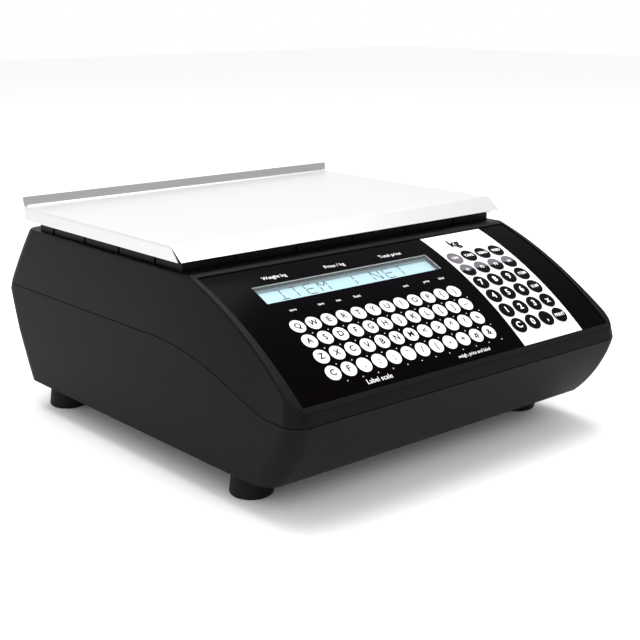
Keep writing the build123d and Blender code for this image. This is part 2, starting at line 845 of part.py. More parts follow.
def make_platter():
    """One folded steel sheet: flat plate, front and side flanges, and a low rear upstand."""
    top = platter_top_z - platter_sheet
    corner_z = platter_top_z - flange_drop
    front_foot = platter_front_y - front_flange_out
    points = [
        (front_foot, corner_z),
        (platter_front_y, top),
        (platter_rear_y, top),
        (platter_rear_y + upstand_lean, platter_top_z + upstand_height),
    ]
    sheet = bent_sheet(points, platter_sheet, [platter_bend, platter_bend + platter_sheet])
    flat_half = platter_half_width - platter_bend - 2
    plate = along_x(sheet, -flat_half, flat_half)
    bottom = platter_half_width + side_flange_out
    outline = [(flat_half, top), (platter_half_width - platter_sheet, top), (bottom - platter_sheet, corner_z)]
    side = side_face(Polyline((platter_front_y + mitre_gap, platter_top_z), (platter_rear_y - 1, platter_top_z),
                              (platter_rear_y - 1, corner_z),
                              (front_foot + side_flange_reach, corner_z), close=True))
    flange = along_y(bent_outline(outline), front_foot - 1, platter_rear_y)
    flange = flange & along_x(side, flat_half - 1, bottom + 5)
    apron = along_x(sheet, flat_half, platter_half_width)
    ahead = (front_foot - 1, platter_front_y - fold_cut)
    low = block((flat_half, bottom), ahead, (corner_z - 5, platter_top_z))
    behind = (platter_rear_y - fold_cut, platter_rear_y + upstand_lean + 5)
    high = block((flat_half, bottom), behind, (corner_z, platter_top_z + upstand_height + 5))
    for end in (flange, apron & low, apron & high):
        plate += end
        plate += end.mirror(Plane.YZ)
    return plate


def bent_outline(points):
    """Cross-section, in X and Z, of a flat edge folded down into a flange."""
    other = mitre(points, platter_sheet)
    inner = FilletPolyline(*points, radius=[platter_bend])
    outer = FilletPolyline(*other, radius=[platter_bend + platter_sheet])
    return make_face([inner, Line(points[-1], other[-1]), outer, Line(other[0], points[0])])


def make_spider():
    """Cross of four arms with four posts, and a column down to the load cell's free end."""
    centre_y = platter_centre_y
    low, high = arm_bottom_z, arm_bottom_z + arm_height
    body = post(0, centre_y, low, high, hub_radius)
    for x, y in post_places():
        length = hypot(x, y - centre_y)
        angle = degrees(atan2(y - centre_y, x))
        bar = Box(length, arm_width, arm_height)
        body += Pos(x / 2, (y + centre_y) / 2, (low + high) / 2) * Rot(0, 0, angle) * bar
        body += post(x, y, low, high, post_radius + post_flange)
        body += post(x, y, high - 1, platter_top_z - platter_sheet - cap_height, post_radius)
    free_end = cell_y()[1]
    body += block(cell_x(), (centre_y, free_end), (low, high))
    body += block(cell_x(), (free_end - cell_foot_length, free_end), (cell_bottom_z + cell_height, low + 1))
    return body


def make_spider_caps():
    top = platter_top_z - platter_sheet
    radius = post_radius + cap_overhang
    return Compound(children=[post(x, y, top - cap_height, top, radius) for x, y in post_places()])


def cell_x():
    return (-cell_width / 2, cell_width / 2)


def cell_y():
    """The load cell's two ends."""
    return (platter_centre_y - cell_length / 2, platter_centre_y + cell_length / 2)


def make_load_cell():
    body = block(cell_x(), cell_y(), (cell_bottom_z, cell_bottom_z + cell_height))
    middle_z = cell_bottom_z + cell_height / 2
    for side in (-1, 1):
        place = Pos(0, platter_centre_y + side * cell_bore_offset, middle_z) * Rot(0, 90, 0)
        body -= place * Cylinder(cell_bore_radius, cell_width + 2)
    slot_y_range = (platter_centre_y - cell_bore_offset, platter_centre_y + cell_bore_offset)
    wide = (-cell_width, cell_width)
    body -= block(wide, slot_y_range, (middle_z - cell_slot_half, middle_z + cell_slot_half))
    for x, y in cell_screw_places():
        body -= post(x, y, cell_bottom_z - 1, cell_bottom_z + cell_screw_grip + 2, cell_screw_radius)
    return body


def cell_screw_places():
    """Screws at the load cell's fixed end."""
    return [(x, cell_y()[0] + y) for x in cell_screw_x for y in cell_screw_y]


def make_cell_riser():
    """Block that lifts the load cell's fixed end off the chassis."""
    start = cell_y()[0]
    body = block(cell_x(), (start, start + cell_foot_length), (chassis_z + plate_thickness, cell_bottom_z))
    for x, y in cell_screw_places():
        body -= post(x, y, chassis_z, cell_bottom_z + 1, cell_screw_radius)
    return body


def make_cell_screws():
    screws = []
    radius, height = cell_screw_head
    for x, y in cell_screw_places():
        head = post(x, y, chassis_z - height, chassis_z, radius)
        screws.append(head + post(x, y, chassis_z - 0.5, cell_bottom_z + cell_screw_grip, cell_screw_radius))
    return Compound(children=screws)


def stop_places():
    """Overload stops under the free end of the load cell."""
    end_y = cell_y()[1] - stop_end_margin
    return [(-stop_x, end_y), (stop_x, end_y)]


def make_overload_stops():
    """Two screws with lock nuts that the cell meets when it is overloaded."""
    stops = []
    radius, height = stop_nut
    top = chassis_z + plate_thickness
    for x, y in stop_places():
        shank = post(x, y, chassis_z - stop_below, cell_bottom_z - stop_gap, stop_radius)
        stops.append(shank + post(x, y, top, top + height, radius))
    return Compound(children=stops)


def make_chassis_plate():
    plate = block(chassis_x, chassis_y, (chassis_z, chassis_z + plate_thickness))
    holes = [(place, cell_screw_radius) for place in cell_screw_places()]
    holes += [(place, stop_radius) for place in stop_places()]
    holes += [(place, chassis_screw_radius) for place in chassis_corners()]
    for place, radius in holes:
        plate -= post(*place, chassis_z - 1, chassis_z + plate_thickness + 1, radius)
    return plate


def make_chassis_screws():
    screws = []
    for x, y in chassis_corners() + frame_foot_places():
        top = chassis_z + plate_thickness
        radius, height = chassis_screw_head
        head = post(x, y, top, top + height, radius)
        screws.append(head + post(x, y, base_bottom_z + floor_bite, top + 0.5, chassis_screw_radius))
    return Compound(children=screws)


def make_spirit_level():
    """Sealed round bubble level in its seat."""
    low = plinth_z - level_depth
    return post(level_x, level_y, low, low + level_height, level_radius)


# ---------------------------------------------------------------- electronics
def make_main_board():
    board = block(board_x, board_y, (board_z, board_z + board_thickness))
    for x, y in board_corners():
        board -= post(x, y, board_z - 1, board_z + board_thickness + 1, board_screw_radius)
    return board


def make_board_spacers():
    low = board_z - spacer_height
    spacers = []
    for x, y in board_corners():
        spacers.append(post(x, y, low, board_z, spacer_radius_out) - post(x, y, low - 1, board_z + 1, board_screw_radius))
    return Compound(children=spacers)


def make_board_parts():
    """The main board's larger components, standing on it."""
    top = board_z + board_thickness
    x, y = board_x[0], board_y[0]
    boxes = [
        ((x + 50, x + 72), (y + 40, y + 62), 1.6),
        ((x + 84, x + 98), (y + 36, y + 54), 1.2),
        ((x + 20, x + 34), (y + 34, y + 42), 1.6),
        ((x + 16, x + 46), (y + 92, y + 99), 8.0),
        ((x + 60, x + 84), (y + 92, y + 99), 8.0),
        ((x + 100, x + 124), (y + 92, y + 99), 8.0),
        ((x + 108, x + 128), (y + 14, y + 30), 10.0),
        ((x + 20, x + 30), (y + 60, y + 76), 12.0),
    ]
    parts = [block(bx, by, (top, top + height)) for bx, by, height in boxes]
    parts += [post(x + 44 + 14 * step, y + 16, top, top + 14, 5.0) for step in range(4)]
    return Compound(children=parts)


def make_power_supply():
    """Closed power supply in a folded steel case, screwed flat to the chassis."""
    low = chassis_z + plate_thickness
    top = low + supply_height
    case = block(supply_x, supply_y, (low, top))
    case = fillet(case.edges().filter_by(Axis.Y), supply_edge)
    vent_x = (supply_x[0] + vent_margin[0], supply_x[1] - vent_margin[0])
    for step in range(vent_count):
        y = supply_y[0] + vent_margin[1] + step * vent_pitch
        case -= block(vent_x, (y, y + vent_width), (top - vent_depth, top + 1))
    return case


def cutout(x, size, y_low, y_high, grow=0.0):
    """Box through the socket plate around a socket's centre."""
    half_x, half_z = size[0] / 2 + grow, size[1] / 2 + grow
    return block((x - half_x, x + half_x), (y_low, y_high), (socket_z - half_z, socket_z + half_z))


def make_socket_plate():
    y = (socket_panel_y - panel_thickness, socket_panel_y)
    x = (socket_panel_x[0] - socket_panel_lap, socket_panel_x[1] + socket_panel_lap)
    z = (socket_panel_z[0] - socket_panel_lap, socket_panel_z[1] + socket_panel_lap)
    plate = block(x, y, z)
    bodies = ((inlet_x, inlet_body), (switch_x, switch_body()), (network_x, jack_size), (drawer_x, jack_size))
    for place, size in bodies:
        plate -= cutout(place, size, y[0] - 1, y[1] + 1)
    return plate


def switch_body():
    return (switch_size[0] - 2 * switch_rim, switch_size[1] - 2 * switch_rim)


def make_mains_inlet():
    face = socket_panel_y + flange_thickness
    body = cutout(inlet_x, inlet_size, socket_panel_y, face)
    body += cutout(inlet_x, inlet_body, face - inlet_depth - flange_thickness, face)
    half_x, half_z = inlet_recess[0] / 2, inlet_recess[1] / 2
    low_x, low_z = half_x - inlet_chamfer, half_z - inlet_chamfer
    outline = Polyline((-half_x, -half_z), (half_x, -half_z), (half_x, low_z), (low_x, half_z),
                       (-low_x, half_z), (-half_x, low_z), close=True)
    hole = along_y(make_face(outline), face - inlet_recess_depth, face + 1)
    body -= Pos(inlet_x, 0, socket_z) * hole
    for pin in inlet_pin_blocks(1.0):
        body -= pin
    return body


def inlet_pin_blocks(growth):
    """The three contact pins: two low ones and, between them, a higher one."""
    floor = socket_panel_y + flange_thickness - inlet_recess_depth
    y = (floor - pin_tail - growth, floor + pin_length)
    pins = []
    for side in (-1, 0, 1):
        x = inlet_x + side * pin_spacing[0]
        z = socket_z + (pin_spacing[1] if side == 0 else -pin_spacing[1])
        pins.append(block((x - pin_size[0] / 2, x + pin_size[0] / 2), y, (z - pin_size[1] / 2, z + pin_size[1] / 2)))
    return pins


def make_inlet_pins():
    return Compound(children=inlet_pin_blocks(0.0))


def rocker_axis():
    """The rocker's axis, along X, behind the switch's front."""
    return (switch_x, socket_panel_y + flange_thickness - rocker_axis_depth, socket_z)


def make_switch_housing():
    face = socket_panel_y + flange_thickness
    body = cutout(switch_x, switch_size, socket_panel_y, face)
    body += cutout(switch_x, switch_body(), face - switch_depth, face)
    hole = (rocker_width + 2 * rocker_gap, 2 * (rocker_half_length + rocker_end_gap))
    body -= cutout(switch_x, hole, face - switch_well, face + 1)
    length = rocker_width + 2 * (rocker_gap + rocker_pivot_length + rocker_gap)
    return body - Pos(*rocker_axis()) * Rot(0, 90, 0) * Cylinder(rocker_pivot_radius + running_gap, length)


def make_switch_rocker():
    """Rocker with its own two pivots, pressed in at the top."""
    x, y, z = rocker_axis()
    reach = rocker_axis_depth + rocker_rise
    end = rocker_half_length
    outline = Polyline((-3.0, -3.0), (3.0, -3.0), (end, reach - 3), (end, reach),
                       (0, reach - 1.6), (-end, reach), (-end, reach - 3), close=True)
    side = Plane((x - rocker_width / 2, y, z), x_dir=(0, 0, 1), z_dir=(-1, 0, 0)) * make_face(outline)
    body = extrude(side, amount=rocker_width, dir=(1, 0, 0))
    body = Pos(x, y, z) * Rot(rocker_tilt, 0, 0) * Pos(-x, -y, -z) * body
    length = rocker_width + 2 * (rocker_gap + rocker_pivot_length)
    return body + Pos(x, y, z) * Rot(0, 90, 0) * Cylinder(rocker_pivot_radius, length)


def make_jack(x, hole):
    """Modular socket with its opening to the rear."""
    face = socket_panel_y + jack_proud
    open_y = (face - jack_hole_depth, face + 1)
    body = cutout(x, jack_size, face - jack_depth - 1, face)
    body -= cutout(x, hole, *open_y)
    low = socket_z - hole[1] / 2
    latch_x = (x - jack_latch[0] / 2, x + jack_latch[0] / 2)
    return body - block(latch_x, open_y, (low - jack_latch[1], low + 1))


def make_network_socket():
    return make_jack(network_x, jack_hole)


def make_drawer_socket():
    return make_jack(drawer_x, drawer_hole)


# ---------------------------------------------------------------- feet
def make_foot(x, y):
    """Moulded levelling foot in one piece with its screw, wider at the floor."""
    top = base_bottom_z - foot_gap
    start, end = (foot_radius - foot_edge, 0), (foot_radius, foot_edge * 1.2)
    outline = make_face([
        Line((0, 0), start),
        ThreePointArc(start, (foot_radius - foot_edge * 0.235, foot_edge * 0.4), end),
        Polyline(end, (foot_top_radius, top), (stud_radius, top), (stud_radius, stud_top_z), (0, stud_top_z), (0, 0)),
    ])
    return Pos(x, y, 0) * revolve(Plane.XZ * outline, axis=Axis.Z)


def make_foot_inserts():
    """Threaded bushes in the base, one for each foot's screw."""
    inserts = []
    for x, y in foot_places():
        bush = post(x, y, base_bottom_z + insert_floor, boss_top_z, insert_radius)
        inserts.append(bush - post(x, y, base_bottom_z, boss_top_z + 1, stud_radius + running_gap))
    return Compound(children=inserts)


def make_cover_screws():
    screws = []
    for x, y in cover_screw_places():
        head = post(x, y, screw_seat_z - screw_head_height, screw_seat_z, screw_head_radius)
        screws.append(head + post(x, y, screw_seat_z - 0.5, screw_seat_z + screw_length, screw_radius))
    return Compound(children=screws)


# ---------------------------------------------------------------- printer
def side_wall_x(z):
    """Outer face of the base's side at a height."""
    return half_width - side_lean_base * max(0.0, lean_start_z - z)


def hinge_x():
    """The door's hinge axis, one knuckle radius inside the outer face."""
    return side_wall_x(hinge_z) - hinge_radius


def door_opening():
    y = (door_y[0] - door_gap, door_y[1] + door_gap)
    low = hinge_z - hinge_radius - door_gap
    return block((half_width - opening_depth, half_width + 10), y, (low, door_top_z + door_gap))


def hinge_bosses():
    """Blocks beside the door's two lower corners, which hold the hinge pins."""
    x = (hinge_x() - hinge_boss_half, half_width + 5)
    z = (hinge_z - hinge_boss_half, hinge_z + hinge_boss_half)
    front, rear = door_y[0] - door_gap, door_y[1] + door_gap
    return block(x, (front - hinge_boss_length, front), z) + block(x, (rear, rear + hinge_boss_length), z)


def hinge_rods(radius, growth):
    """The two hinge pins, half in the base and half in the door."""
    half = hinge_pin_length / 2 + growth
    return [rod(hinge_x(), hinge_z, y - half, y + half, radius) for y in door_y]


def door_inner_x():
    """Inner face of the door at the height of its catch."""
    return half_width - shell_wall


def magnet_face_x():
    return door_inner_x() - strike_thickness - magnet_gap


def magnet_block():
    """Magnet of the door's catch, flush with the arm that holds it."""
    return block((magnet_face_x() - magnet_depth, magnet_face_x()), magnet_y, magnet_z)


def magnet_boss():
    """Arm above the door that holds the catch's magnet."""
    back = magnet_face_x() - magnet_depth - magnet_wall
    y = (magnet_y[0] - magnet_wall, magnet_y[1] + magnet_wall)
    arm = block((back, magnet_face_x()), y, magnet_arm_z)
    top = magnet_arm_z[1]
    return arm + block((back, half_width - 1), y, (top - 1.5, top + 1.5))


def make_printer_door():
    wall = casing_outside - casing_inside
    door = wall & block((half_width - 12, half_width + 5), door_y, (hinge_z, door_top_z))
    door += rod(hinge_x(), hinge_z, door_y[0], door_y[1], hinge_radius)
    door -= block((half_width - 14, half_width + 5), slot_y, slot_z)
    for hole in hinge_rods(hinge_pin_radius + running_gap, hinge_pin_end_gap):
        door -= hole
    grip_x = half_width + grip_radius - grip_depth
    grip = Pos(grip_x, sum(door_y) / 2, grip_z) * Rot(90, 0, 0) * Cylinder(grip_radius, grip_length)
    return door - grip


def make_door_strike():
    """Steel plate on the door that the magnet holds."""
    x = door_inner_x()
    y = (magnet_y[0] + strike_margin, magnet_y[1] - strike_margin)
    return block((x - strike_thickness, x), y, (magnet_z[0], magnet_z[1] - strike_margin / 2))


def make_hinge_pins():
    return Compound(children=hinge_rods(hinge_pin_radius, 0.0))


def make_printer_frame():
    """Steel cradle: two side plates on a floor plate, with a rear cross bar."""
    t = plate_thickness
    across = (plate_y[0], plate_y[1] + t)
    body = block(frame_x, (plate_y[0], plate_y[0] + t), (chassis_z, frame_top_z))
    body += block(frame_x, (plate_y[1], plate_y[1] + t), (chassis_z, frame_top_z))
    body += block(frame_x, across, (chassis_z, chassis_z + t))
    bar_x = frame_x[0] + bar_offset
    body += block((bar_x, bar_x + t), across, (frame_top_z - bar_height, frame_top_z))
    inner, outer = plate_y[0] - 1, plate_y[1] + t + 1
    body -= rod(roll_x, roll_z, inner, outer, journal_radius + running_gap)
    body -= rod(platen_x, platen_z, inner, outer, bush_radius)
    body -= rod(head_pin_x, head_pin_z, inner, outer, head_pin_radius)
    body -= rod(motor_x, motor_z, plate_y[1] - 1, outer, 2 * motor_shaft_radius)
    body -= rod(*idler_place(), plate_y[1] - 1, outer, idler_pin_radius)
    for place in motor_screw_places():
        body -= rod(*place, plate_y[1] - 1, outer, motor_screw_radius)
    for place in frame_foot_places():
        body -= post(*place, chassis_z - 1, chassis_z + t + 1, chassis_screw_radius)
    return body


def frame_foot_places():
    return corners(frame_x, plate_y, frame_foot_inset)


def make_label_roll():
    """Roll of labels wound on its cardboard core."""
    y = roll_y()
    return tube(roll_x, roll_z, y[0], y[1], roll_radius, core_radius)


def roll_y():
    """The roll's two ends, centred between the plates."""
    middle = (plate_y[0] + plate_thickness + plate_y[1]) / 2
    return (middle - label_width / 2, middle + label_width / 2)


def make_roll_spindle():
    y = roll_y()
    height, thickness = core_flange
    body = rod(roll_x, roll_z, y[0], y[1], core_radius)
    body += rod(roll_x, roll_z, y[0] - thickness, y[0], core_radius + height)
    body += rod(roll_x, roll_z, y[1], y[1] + thickness, core_radius + height)
    return body + rod(roll_x, roll_z, plate_y[0], plate_y[1] + plate_thickness, journal_radius)


def make_platen_roller():
    middle = sum(roll_y()) / 2
    half = label_width / 2 + platen_end_gap
    return tube(platen_x, platen_z, middle - half, middle + half, platen_radius, platen_shaft_radius)


def make_platen_shaft():
    rear = plate_y[1] + plate_thickness
    return rod(platen_x, platen_z, plate_y[0] - 1, rear + gear_gap + gear_width + shaft_end, platen_shaft_radius)


def make_platen_bushes():
    t = plate_thickness
    hole = platen_shaft_radius + running_gap
    front = tube(platen_x, platen_z, plate_y[0], plate_y[0] + t, bush_radius, hole)
    rear = tube(platen_x, platen_z, plate_y[1], plate_y[1] + t, bush_radius, hole)
    return Compound(children=[front, rear])


def gear_radius(teeth):
    return gear_module * teeth / 2


def mesh_distance(first, second):
    return gear_radius(first) + gear_radius(second) + centre_growth


def idler_place():
    """Centre of the idler, in mesh with the pinion and with the platen's gear."""
    first, second = (platen_x, platen_z), (motor_x, motor_z)
    reach_first = mesh_distance(platen_teeth, idler_teeth)
    reach_second = mesh_distance(pinion_teeth, idler_teeth)
    dx, dz = second[0] - first[0], second[1] - first[1]
    span = hypot(dx, dz)
    along = (reach_first ** 2 - reach_second ** 2 + span ** 2) / (2 * span)
    aside = sqrt(reach_first ** 2 - along ** 2)
    return (first[0] + (along * dx + aside * dz) / span, first[1] + (along * dz - aside * dx) / span)


def direction(start, end):
    """Angle in the XZ plane from one centre to another."""
    return atan2(end[1] - start[1], end[0] - start[0])


def spur_gear(centre, teeth, phase, y_low, y_high, bore):
    """Gear along Y with the centre of one tooth at the phase angle."""
    pitch = gear_radius(teeth)
    base = pitch * cos(radians(pressure_angle))
    tip, root = pitch + 0.95 * gear_module, pitch - 1.25 * gear_module
    half_tooth = pi / (2 * teeth) - backlash / (2 * pitch)
    at_pitch = tan(radians(pressure_angle)) - radians(pressure_angle)
    steps = 5
    start = max(base, root)
    flank = []
    for step in range(steps + 1):
        radius = start + (tip - start) * step / steps
        angle = acos(min(1.0, base / radius))
        flank.append((radius, half_tooth + at_pitch - (tan(angle) - angle)))
    points = []
    for tooth in range(teeth):
        middle = phase + 2 * pi * tooth / teeth
        rising = [(radius, middle - turn) for radius, turn in flank]
        falling = [(radius, middle + turn) for radius, turn in reversed(flank)]
        outline = rising + falling
        if start > root + 0.01:
            outline = [(root, middle - flank[0][1])] + outline + [(root, middle + flank[0][1])]
        points += [(radius * cos(turn), radius * sin(turn)) for radius, turn in outline]
    blank = make_face(Polyline(*points, close=True)) - Circle(bore)
    return Pos(centre[0], 0, centre[1]) * along_y(blank, y_low, y_high)


def gear_y():
    start = plate_y[1] + plate_thickness + gear_gap
    return (start, start + gear_width)


def platen_phase():
    """One tooth of the platen's gear points at the idler."""
    return direction((platen_x, platen_z), idler_place())


def idler_phase():
    """A gap of the idler faces the platen's gear."""
    return direction(idler_place(), (platen_x, platen_z)) + pi / idler_teeth


def pinion_phase():
    """The pinion's teeth stand between the idler's, whatever the angle between the centres."""
    centre = idler_place()
    towards = direction(centre, (motor_x, motor_z))
    pitch = 2 * pi / idler_teeth
    offset_angle = (idler_phase() - towards) % pitch
    return towards + pi - offset_angle * idler_teeth / pinion_teeth + pi / pinion_teeth


def make_platen_gear():
    return spur_gear((platen_x, platen_z), platen_teeth, platen_phase(), *gear_y(), platen_shaft_radius)


def make_frame_pins():
    """The idler gear's pin, with its head, and the print head's pivot pin."""
    y = gear_y()
    end = y[1] + idler_end_gap
    overhang, height = idler_pin_head
    idler = rod(*idler_place(), plate_y[1], end, idler_pin_radius)
    idler += rod(*idler_place(), end, end + height, idler_pin_radius + overhang)
    pivot = rod(head_pin_x, head_pin_z, plate_y[0], plate_y[1] + plate_thickness, head_pin_radius)
    return Compound(children=[idler, pivot])


def make_idler_gear():
    return spur_gear(idler_place(), idler_teeth, idler_phase(), *gear_y(), idler_pin_radius + running_gap)


def make_motor_pinion():
    """Pinion pressed on the motor's shaft, the two turning as one steel piece."""
    gear = spur_gear((motor_x, motor_z), pinion_teeth, pinion_phase(), *gear_y(), motor_shaft_radius / 3)
    return gear + rod(motor_x, motor_z, plate_y[1] + 1, motor_face_y() + motor_shaft_depth, motor_shaft_radius)


def motor_face_y():
    return gear_y()[1] + motor_gear_gap


def motor_screw_places():
    """The motor's screws, without any that would stand in the idler's way."""
    half = motor_screw_half
    places = [(motor_x + sx * half, motor_z + sz * half) for sx in (-1, 1) for sz in (-1, 1)]
    reach = gear_radius(idler_teeth) + gear_module + pillar_radius + 0.5
    idler = idler_place()
    return [place for place in places if hypot(place[0] - idler[0], place[1] - idler[1]) > reach]


def make_stepper_motor():
    half = motor_size / 2
    face = motor_face_y()
    body = block((motor_x - half, motor_x + half), (face, face + motor_length), (motor_z - half, motor_z + half))
    body = chamfer(body.edges().filter_by(Axis.Y), motor_chamfer)
    body -= rod(motor_x, motor_z, face - 1, face + motor_shaft_depth + 1, motor_shaft_radius + running_gap)
    for place in motor_screw_places():
        body -= rod(*place, face - 1, face + motor_screw_grip, motor_screw_radius)
    return body


def make_motor_pillars():
    """Stand-offs with their screws between the rear plate and the motor."""
    rear = plate_y[1] + plate_thickness
    radius, height = motor_screw_head
    start = plate_y[1] - height
    pillars = []
    for place in motor_screw_places():
        pillar = rod(*place, rear, motor_face_y(), pillar_radius)
        pillar += rod(*place, start, motor_face_y() + motor_screw_grip, motor_screw_radius)
        pillars.append(pillar + rod(*place, start, plate_y[1], radius))
    return Compound(children=pillars)


def head_y(extra):
    middle = sum(roll_y()) / 2
    return (middle - head_width / 2 - extra, middle + head_width / 2 + extra)


def nip_z():
    """Underside of the print head, one label above the roller."""
    return platen_z + platen_radius + nip_gap


def make_print_head():
    z = nip_z()
    return block((platen_x - head_behind, platen_x + head_ahead), head_y(0), (z, z + head_thickness))


def make_head_bracket():
    """Plate above the head with two arms back to its pivot pin."""
    y = head_y(bracket_margin)
    z = nip_z() + head_thickness
    back, arm = platen_x - bracket_behind, bracket_plate
    body = block((back, platen_x + head_ahead), y, (z, z + bracket_plate))
    around = 2 * head_pin_radius
    for low in (y[0], y[1] - arm):
        outline = make_face(Polyline((head_pin_x - around, head_pin_z + around),
                                     (head_pin_x - around, head_pin_z - around),
                                     (back, z), (platen_x - 2, z), (platen_x - 2, z + 6),
                                     (head_pin_x + around - 1, head_pin_z + around), close=True))
        body += along_y(outline, low, low + arm)
    return body - rod(head_pin_x, head_pin_z, y[0] - 1, y[1] + 1, head_pin_radius + running_gap)


def make_head_spring():
    """Torsion spring round the head's pivot pin."""
    length = spring_pitch * spring_turns
    path = Helix(pitch=spring_pitch, height=length, radius=head_pin_radius + spring_gap)
    section = Plane(path @ 0, z_dir=path % 0) * Circle(spring_wire)
    middle = sum(roll_y()) / 2
    return Pos(head_pin_x, middle + length / 2, head_pin_z) * Rot(90, 0, 0) * sweep(section, path=path)


def make_tear_bar():
    """Serrated steel bar just outside the nip, where the label is torn off."""
    y = (plate_y[0] + plate_thickness, plate_y[1])
    x = (frame_x[1] - tear_bar_depth, frame_x[1])
    low = slot_z[1] + tear_bar_gap
    bar = block(x, y, (low, low + tear_bar_height))
    pitch = (y[1] - y[0]) / tear_teeth
    for step in range(tear_teeth):
        place = y[0] + pitch * (step + 0.5)
        bar -= Pos(x[1], place, low) * Rot(0, 0, 45) * Box(pitch / 2, pitch / 2, 3)
    return bar


# ---------------------------------------------------------------- nodes
parts = {
    "base_shell": make_base_shell(),
    "top_cover": make_top_cover(),
    "cover_screws": make_cover_screws(),
    "keypad_overlay": make_keypad_overlay(),
    "number_key_overlay": make_number_overlay(),
    "key_spacer_sheet": make_key_spacer(),
    "snap_domes": make_snap_domes(),
    "key_circuit_sheet": make_key_circuit(),
    "display_window": make_display_window(),
    "lcd_glass": make_lcd_glass(),
    "lcd_backlight": make_lcd_backlight(),
    "lcd_frame": make_lcd_frame(),
    "rear_window": make_rear_window(),
    "rear_lcd_glass": make_rear_lcd(),
    "platter": make_platter(),
    "platter_spider": make_spider(),
    "spider_caps": make_spider_caps(),
    "load_cell": make_load_cell(),
    "cell_riser": make_cell_riser(),
    "cell_screws": make_cell_screws(),
    "overload_stops": make_overload_stops(),
    "chassis_plate": make_chassis_plate(),
    "chassis_screws": make_chassis_screws(),
    "spirit_level": make_spirit_level(),
    "main_board": make_main_board(),
    "board_components": make_board_parts(),
    "board_spacers": make_board_spacers(),
    "power_supply": make_power_supply(),
    "socket_plate": make_socket_plate(),
    "mains_inlet": make_mains_inlet(),
    "inlet_pins": make_inlet_pins(),
    "switch_housing": make_switch_housing(),
    "switch_rocker": make_switch_rocker(),
    "network_socket": make_network_socket(),
    "drawer_socket": make_drawer_socket(),
    "foot_inserts": make_foot_inserts(),
    "printer_door": make_printer_door(),
    "door_strike": make_door_strike(),
    "door_magnet": magnet_block(),
    "hinge_pins": make_hinge_pins(),
    "printer_frame": make_printer_frame(),
    "label_roll": make_label_roll(),
    "roll_spindle": make_roll_spindle(),
    "platen_roller": make_platen_roller(),
    "platen_shaft": make_platen_shaft(),
    "platen_bushes": make_platen_bushes(),
    "platen_gear": make_platen_gear(),
    "idler_gear": make_idler_gear(),
    "motor_pinion": make_motor_pinion(),
    "frame_pins": make_frame_pins(),
    "stepper_motor": make_stepper_motor(),
    "motor_pillars": make_motor_pillars(),
    "print_head": make_print_head(),
    "head_bracket": make_head_bracket(),
    "head_spring": make_head_spring(),
    "tear_bar": make_tear_bar(),
}
corner_names = ["front_left", "rear_left", "front_right", "rear_right"]
for corner, place in zip(corner_names, foot_places()):
    parts["foot_" + corner] = make_foot(*place)

os.makedirs("parts", exist_ok=True)
for name, shape in parts.items():
    export_step(shape, "parts/" + name + ".step")
print(len(parts), "nodes")
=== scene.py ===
import logging
import math
from dataclasses import dataclass, field
from enum import Enum
from typing import Any, Iterable, Sequence

import bpy
import numpy as np
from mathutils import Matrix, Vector


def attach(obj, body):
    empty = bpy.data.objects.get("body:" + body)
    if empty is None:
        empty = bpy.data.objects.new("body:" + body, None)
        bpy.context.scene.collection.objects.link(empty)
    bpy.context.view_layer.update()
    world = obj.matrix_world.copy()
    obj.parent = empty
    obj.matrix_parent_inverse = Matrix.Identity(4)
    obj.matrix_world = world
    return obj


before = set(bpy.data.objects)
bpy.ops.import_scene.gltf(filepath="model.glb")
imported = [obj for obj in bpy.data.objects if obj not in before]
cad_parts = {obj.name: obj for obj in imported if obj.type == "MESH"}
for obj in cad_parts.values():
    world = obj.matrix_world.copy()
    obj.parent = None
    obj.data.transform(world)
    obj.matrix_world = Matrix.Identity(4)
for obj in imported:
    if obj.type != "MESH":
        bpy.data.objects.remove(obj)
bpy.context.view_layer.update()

MM = 0.001
LOG = logging.getLogger("label_scale")
BRUSH_LENGTH = 60.0         # a brushed streak's length, in grains
RING_SCALE = 20.0           # the wave texture's scale for one ring per unit
TYPE_CAPITAL = 0.7          # the built-in face's capital height for a size of one


# ------------------------------------------------------------------ colour and nodes
def linear(code: str) -> tuple[float, float, float, float]:
    """Turn an sRGB hex colour into linear light.

    Args:
        code: six hex digits with a leading hash.

    Returns:
        Red, green, blue and an alpha of one.
    """
    parts = np.array([int(code[i:i + 2], 16) for i in (1, 3, 5)]) / 255.0
    low = parts / 12.92
    high = ((parts + 0.055) / 1.055) ** 2.4
    red, green, blue = np.where(parts <= 0.04045, low, high)
    return float(red), float(green), float(blue), 1.0


def add_node(tree: bpy.types.NodeTree, kind: str, settings: dict[str, Any] | None = None,
             inputs: dict[Any, Any] | None = None) -> bpy.types.Node:
    """Add one node with its settings and links.

    Args:
        tree: the node tree.
        kind: the node's type name.
        settings: attributes of the node.
        inputs: values, or output sockets to link, by input name or index.

    Returns:
        The new node.
    """
    node = tree.nodes.new(kind)
    for name, value in (settings or {}).items():
        setattr(node, name, value)
    for name, value in (inputs or {}).items():
        if isinstance(value, bpy.types.NodeSocket):
            tree.links.new(value, node.inputs[name])
        else:
            node.inputs[name].default_value = value
    return node


class Grain(Enum):
    """How a surface was made, which decides its pattern."""

    MOULDED = "moulded"
    BRUSHED = "brushed"
    CAST = "cast"
    PRINTED = "printed"
    WOUND = "wound"
    ETCHED = "etched"


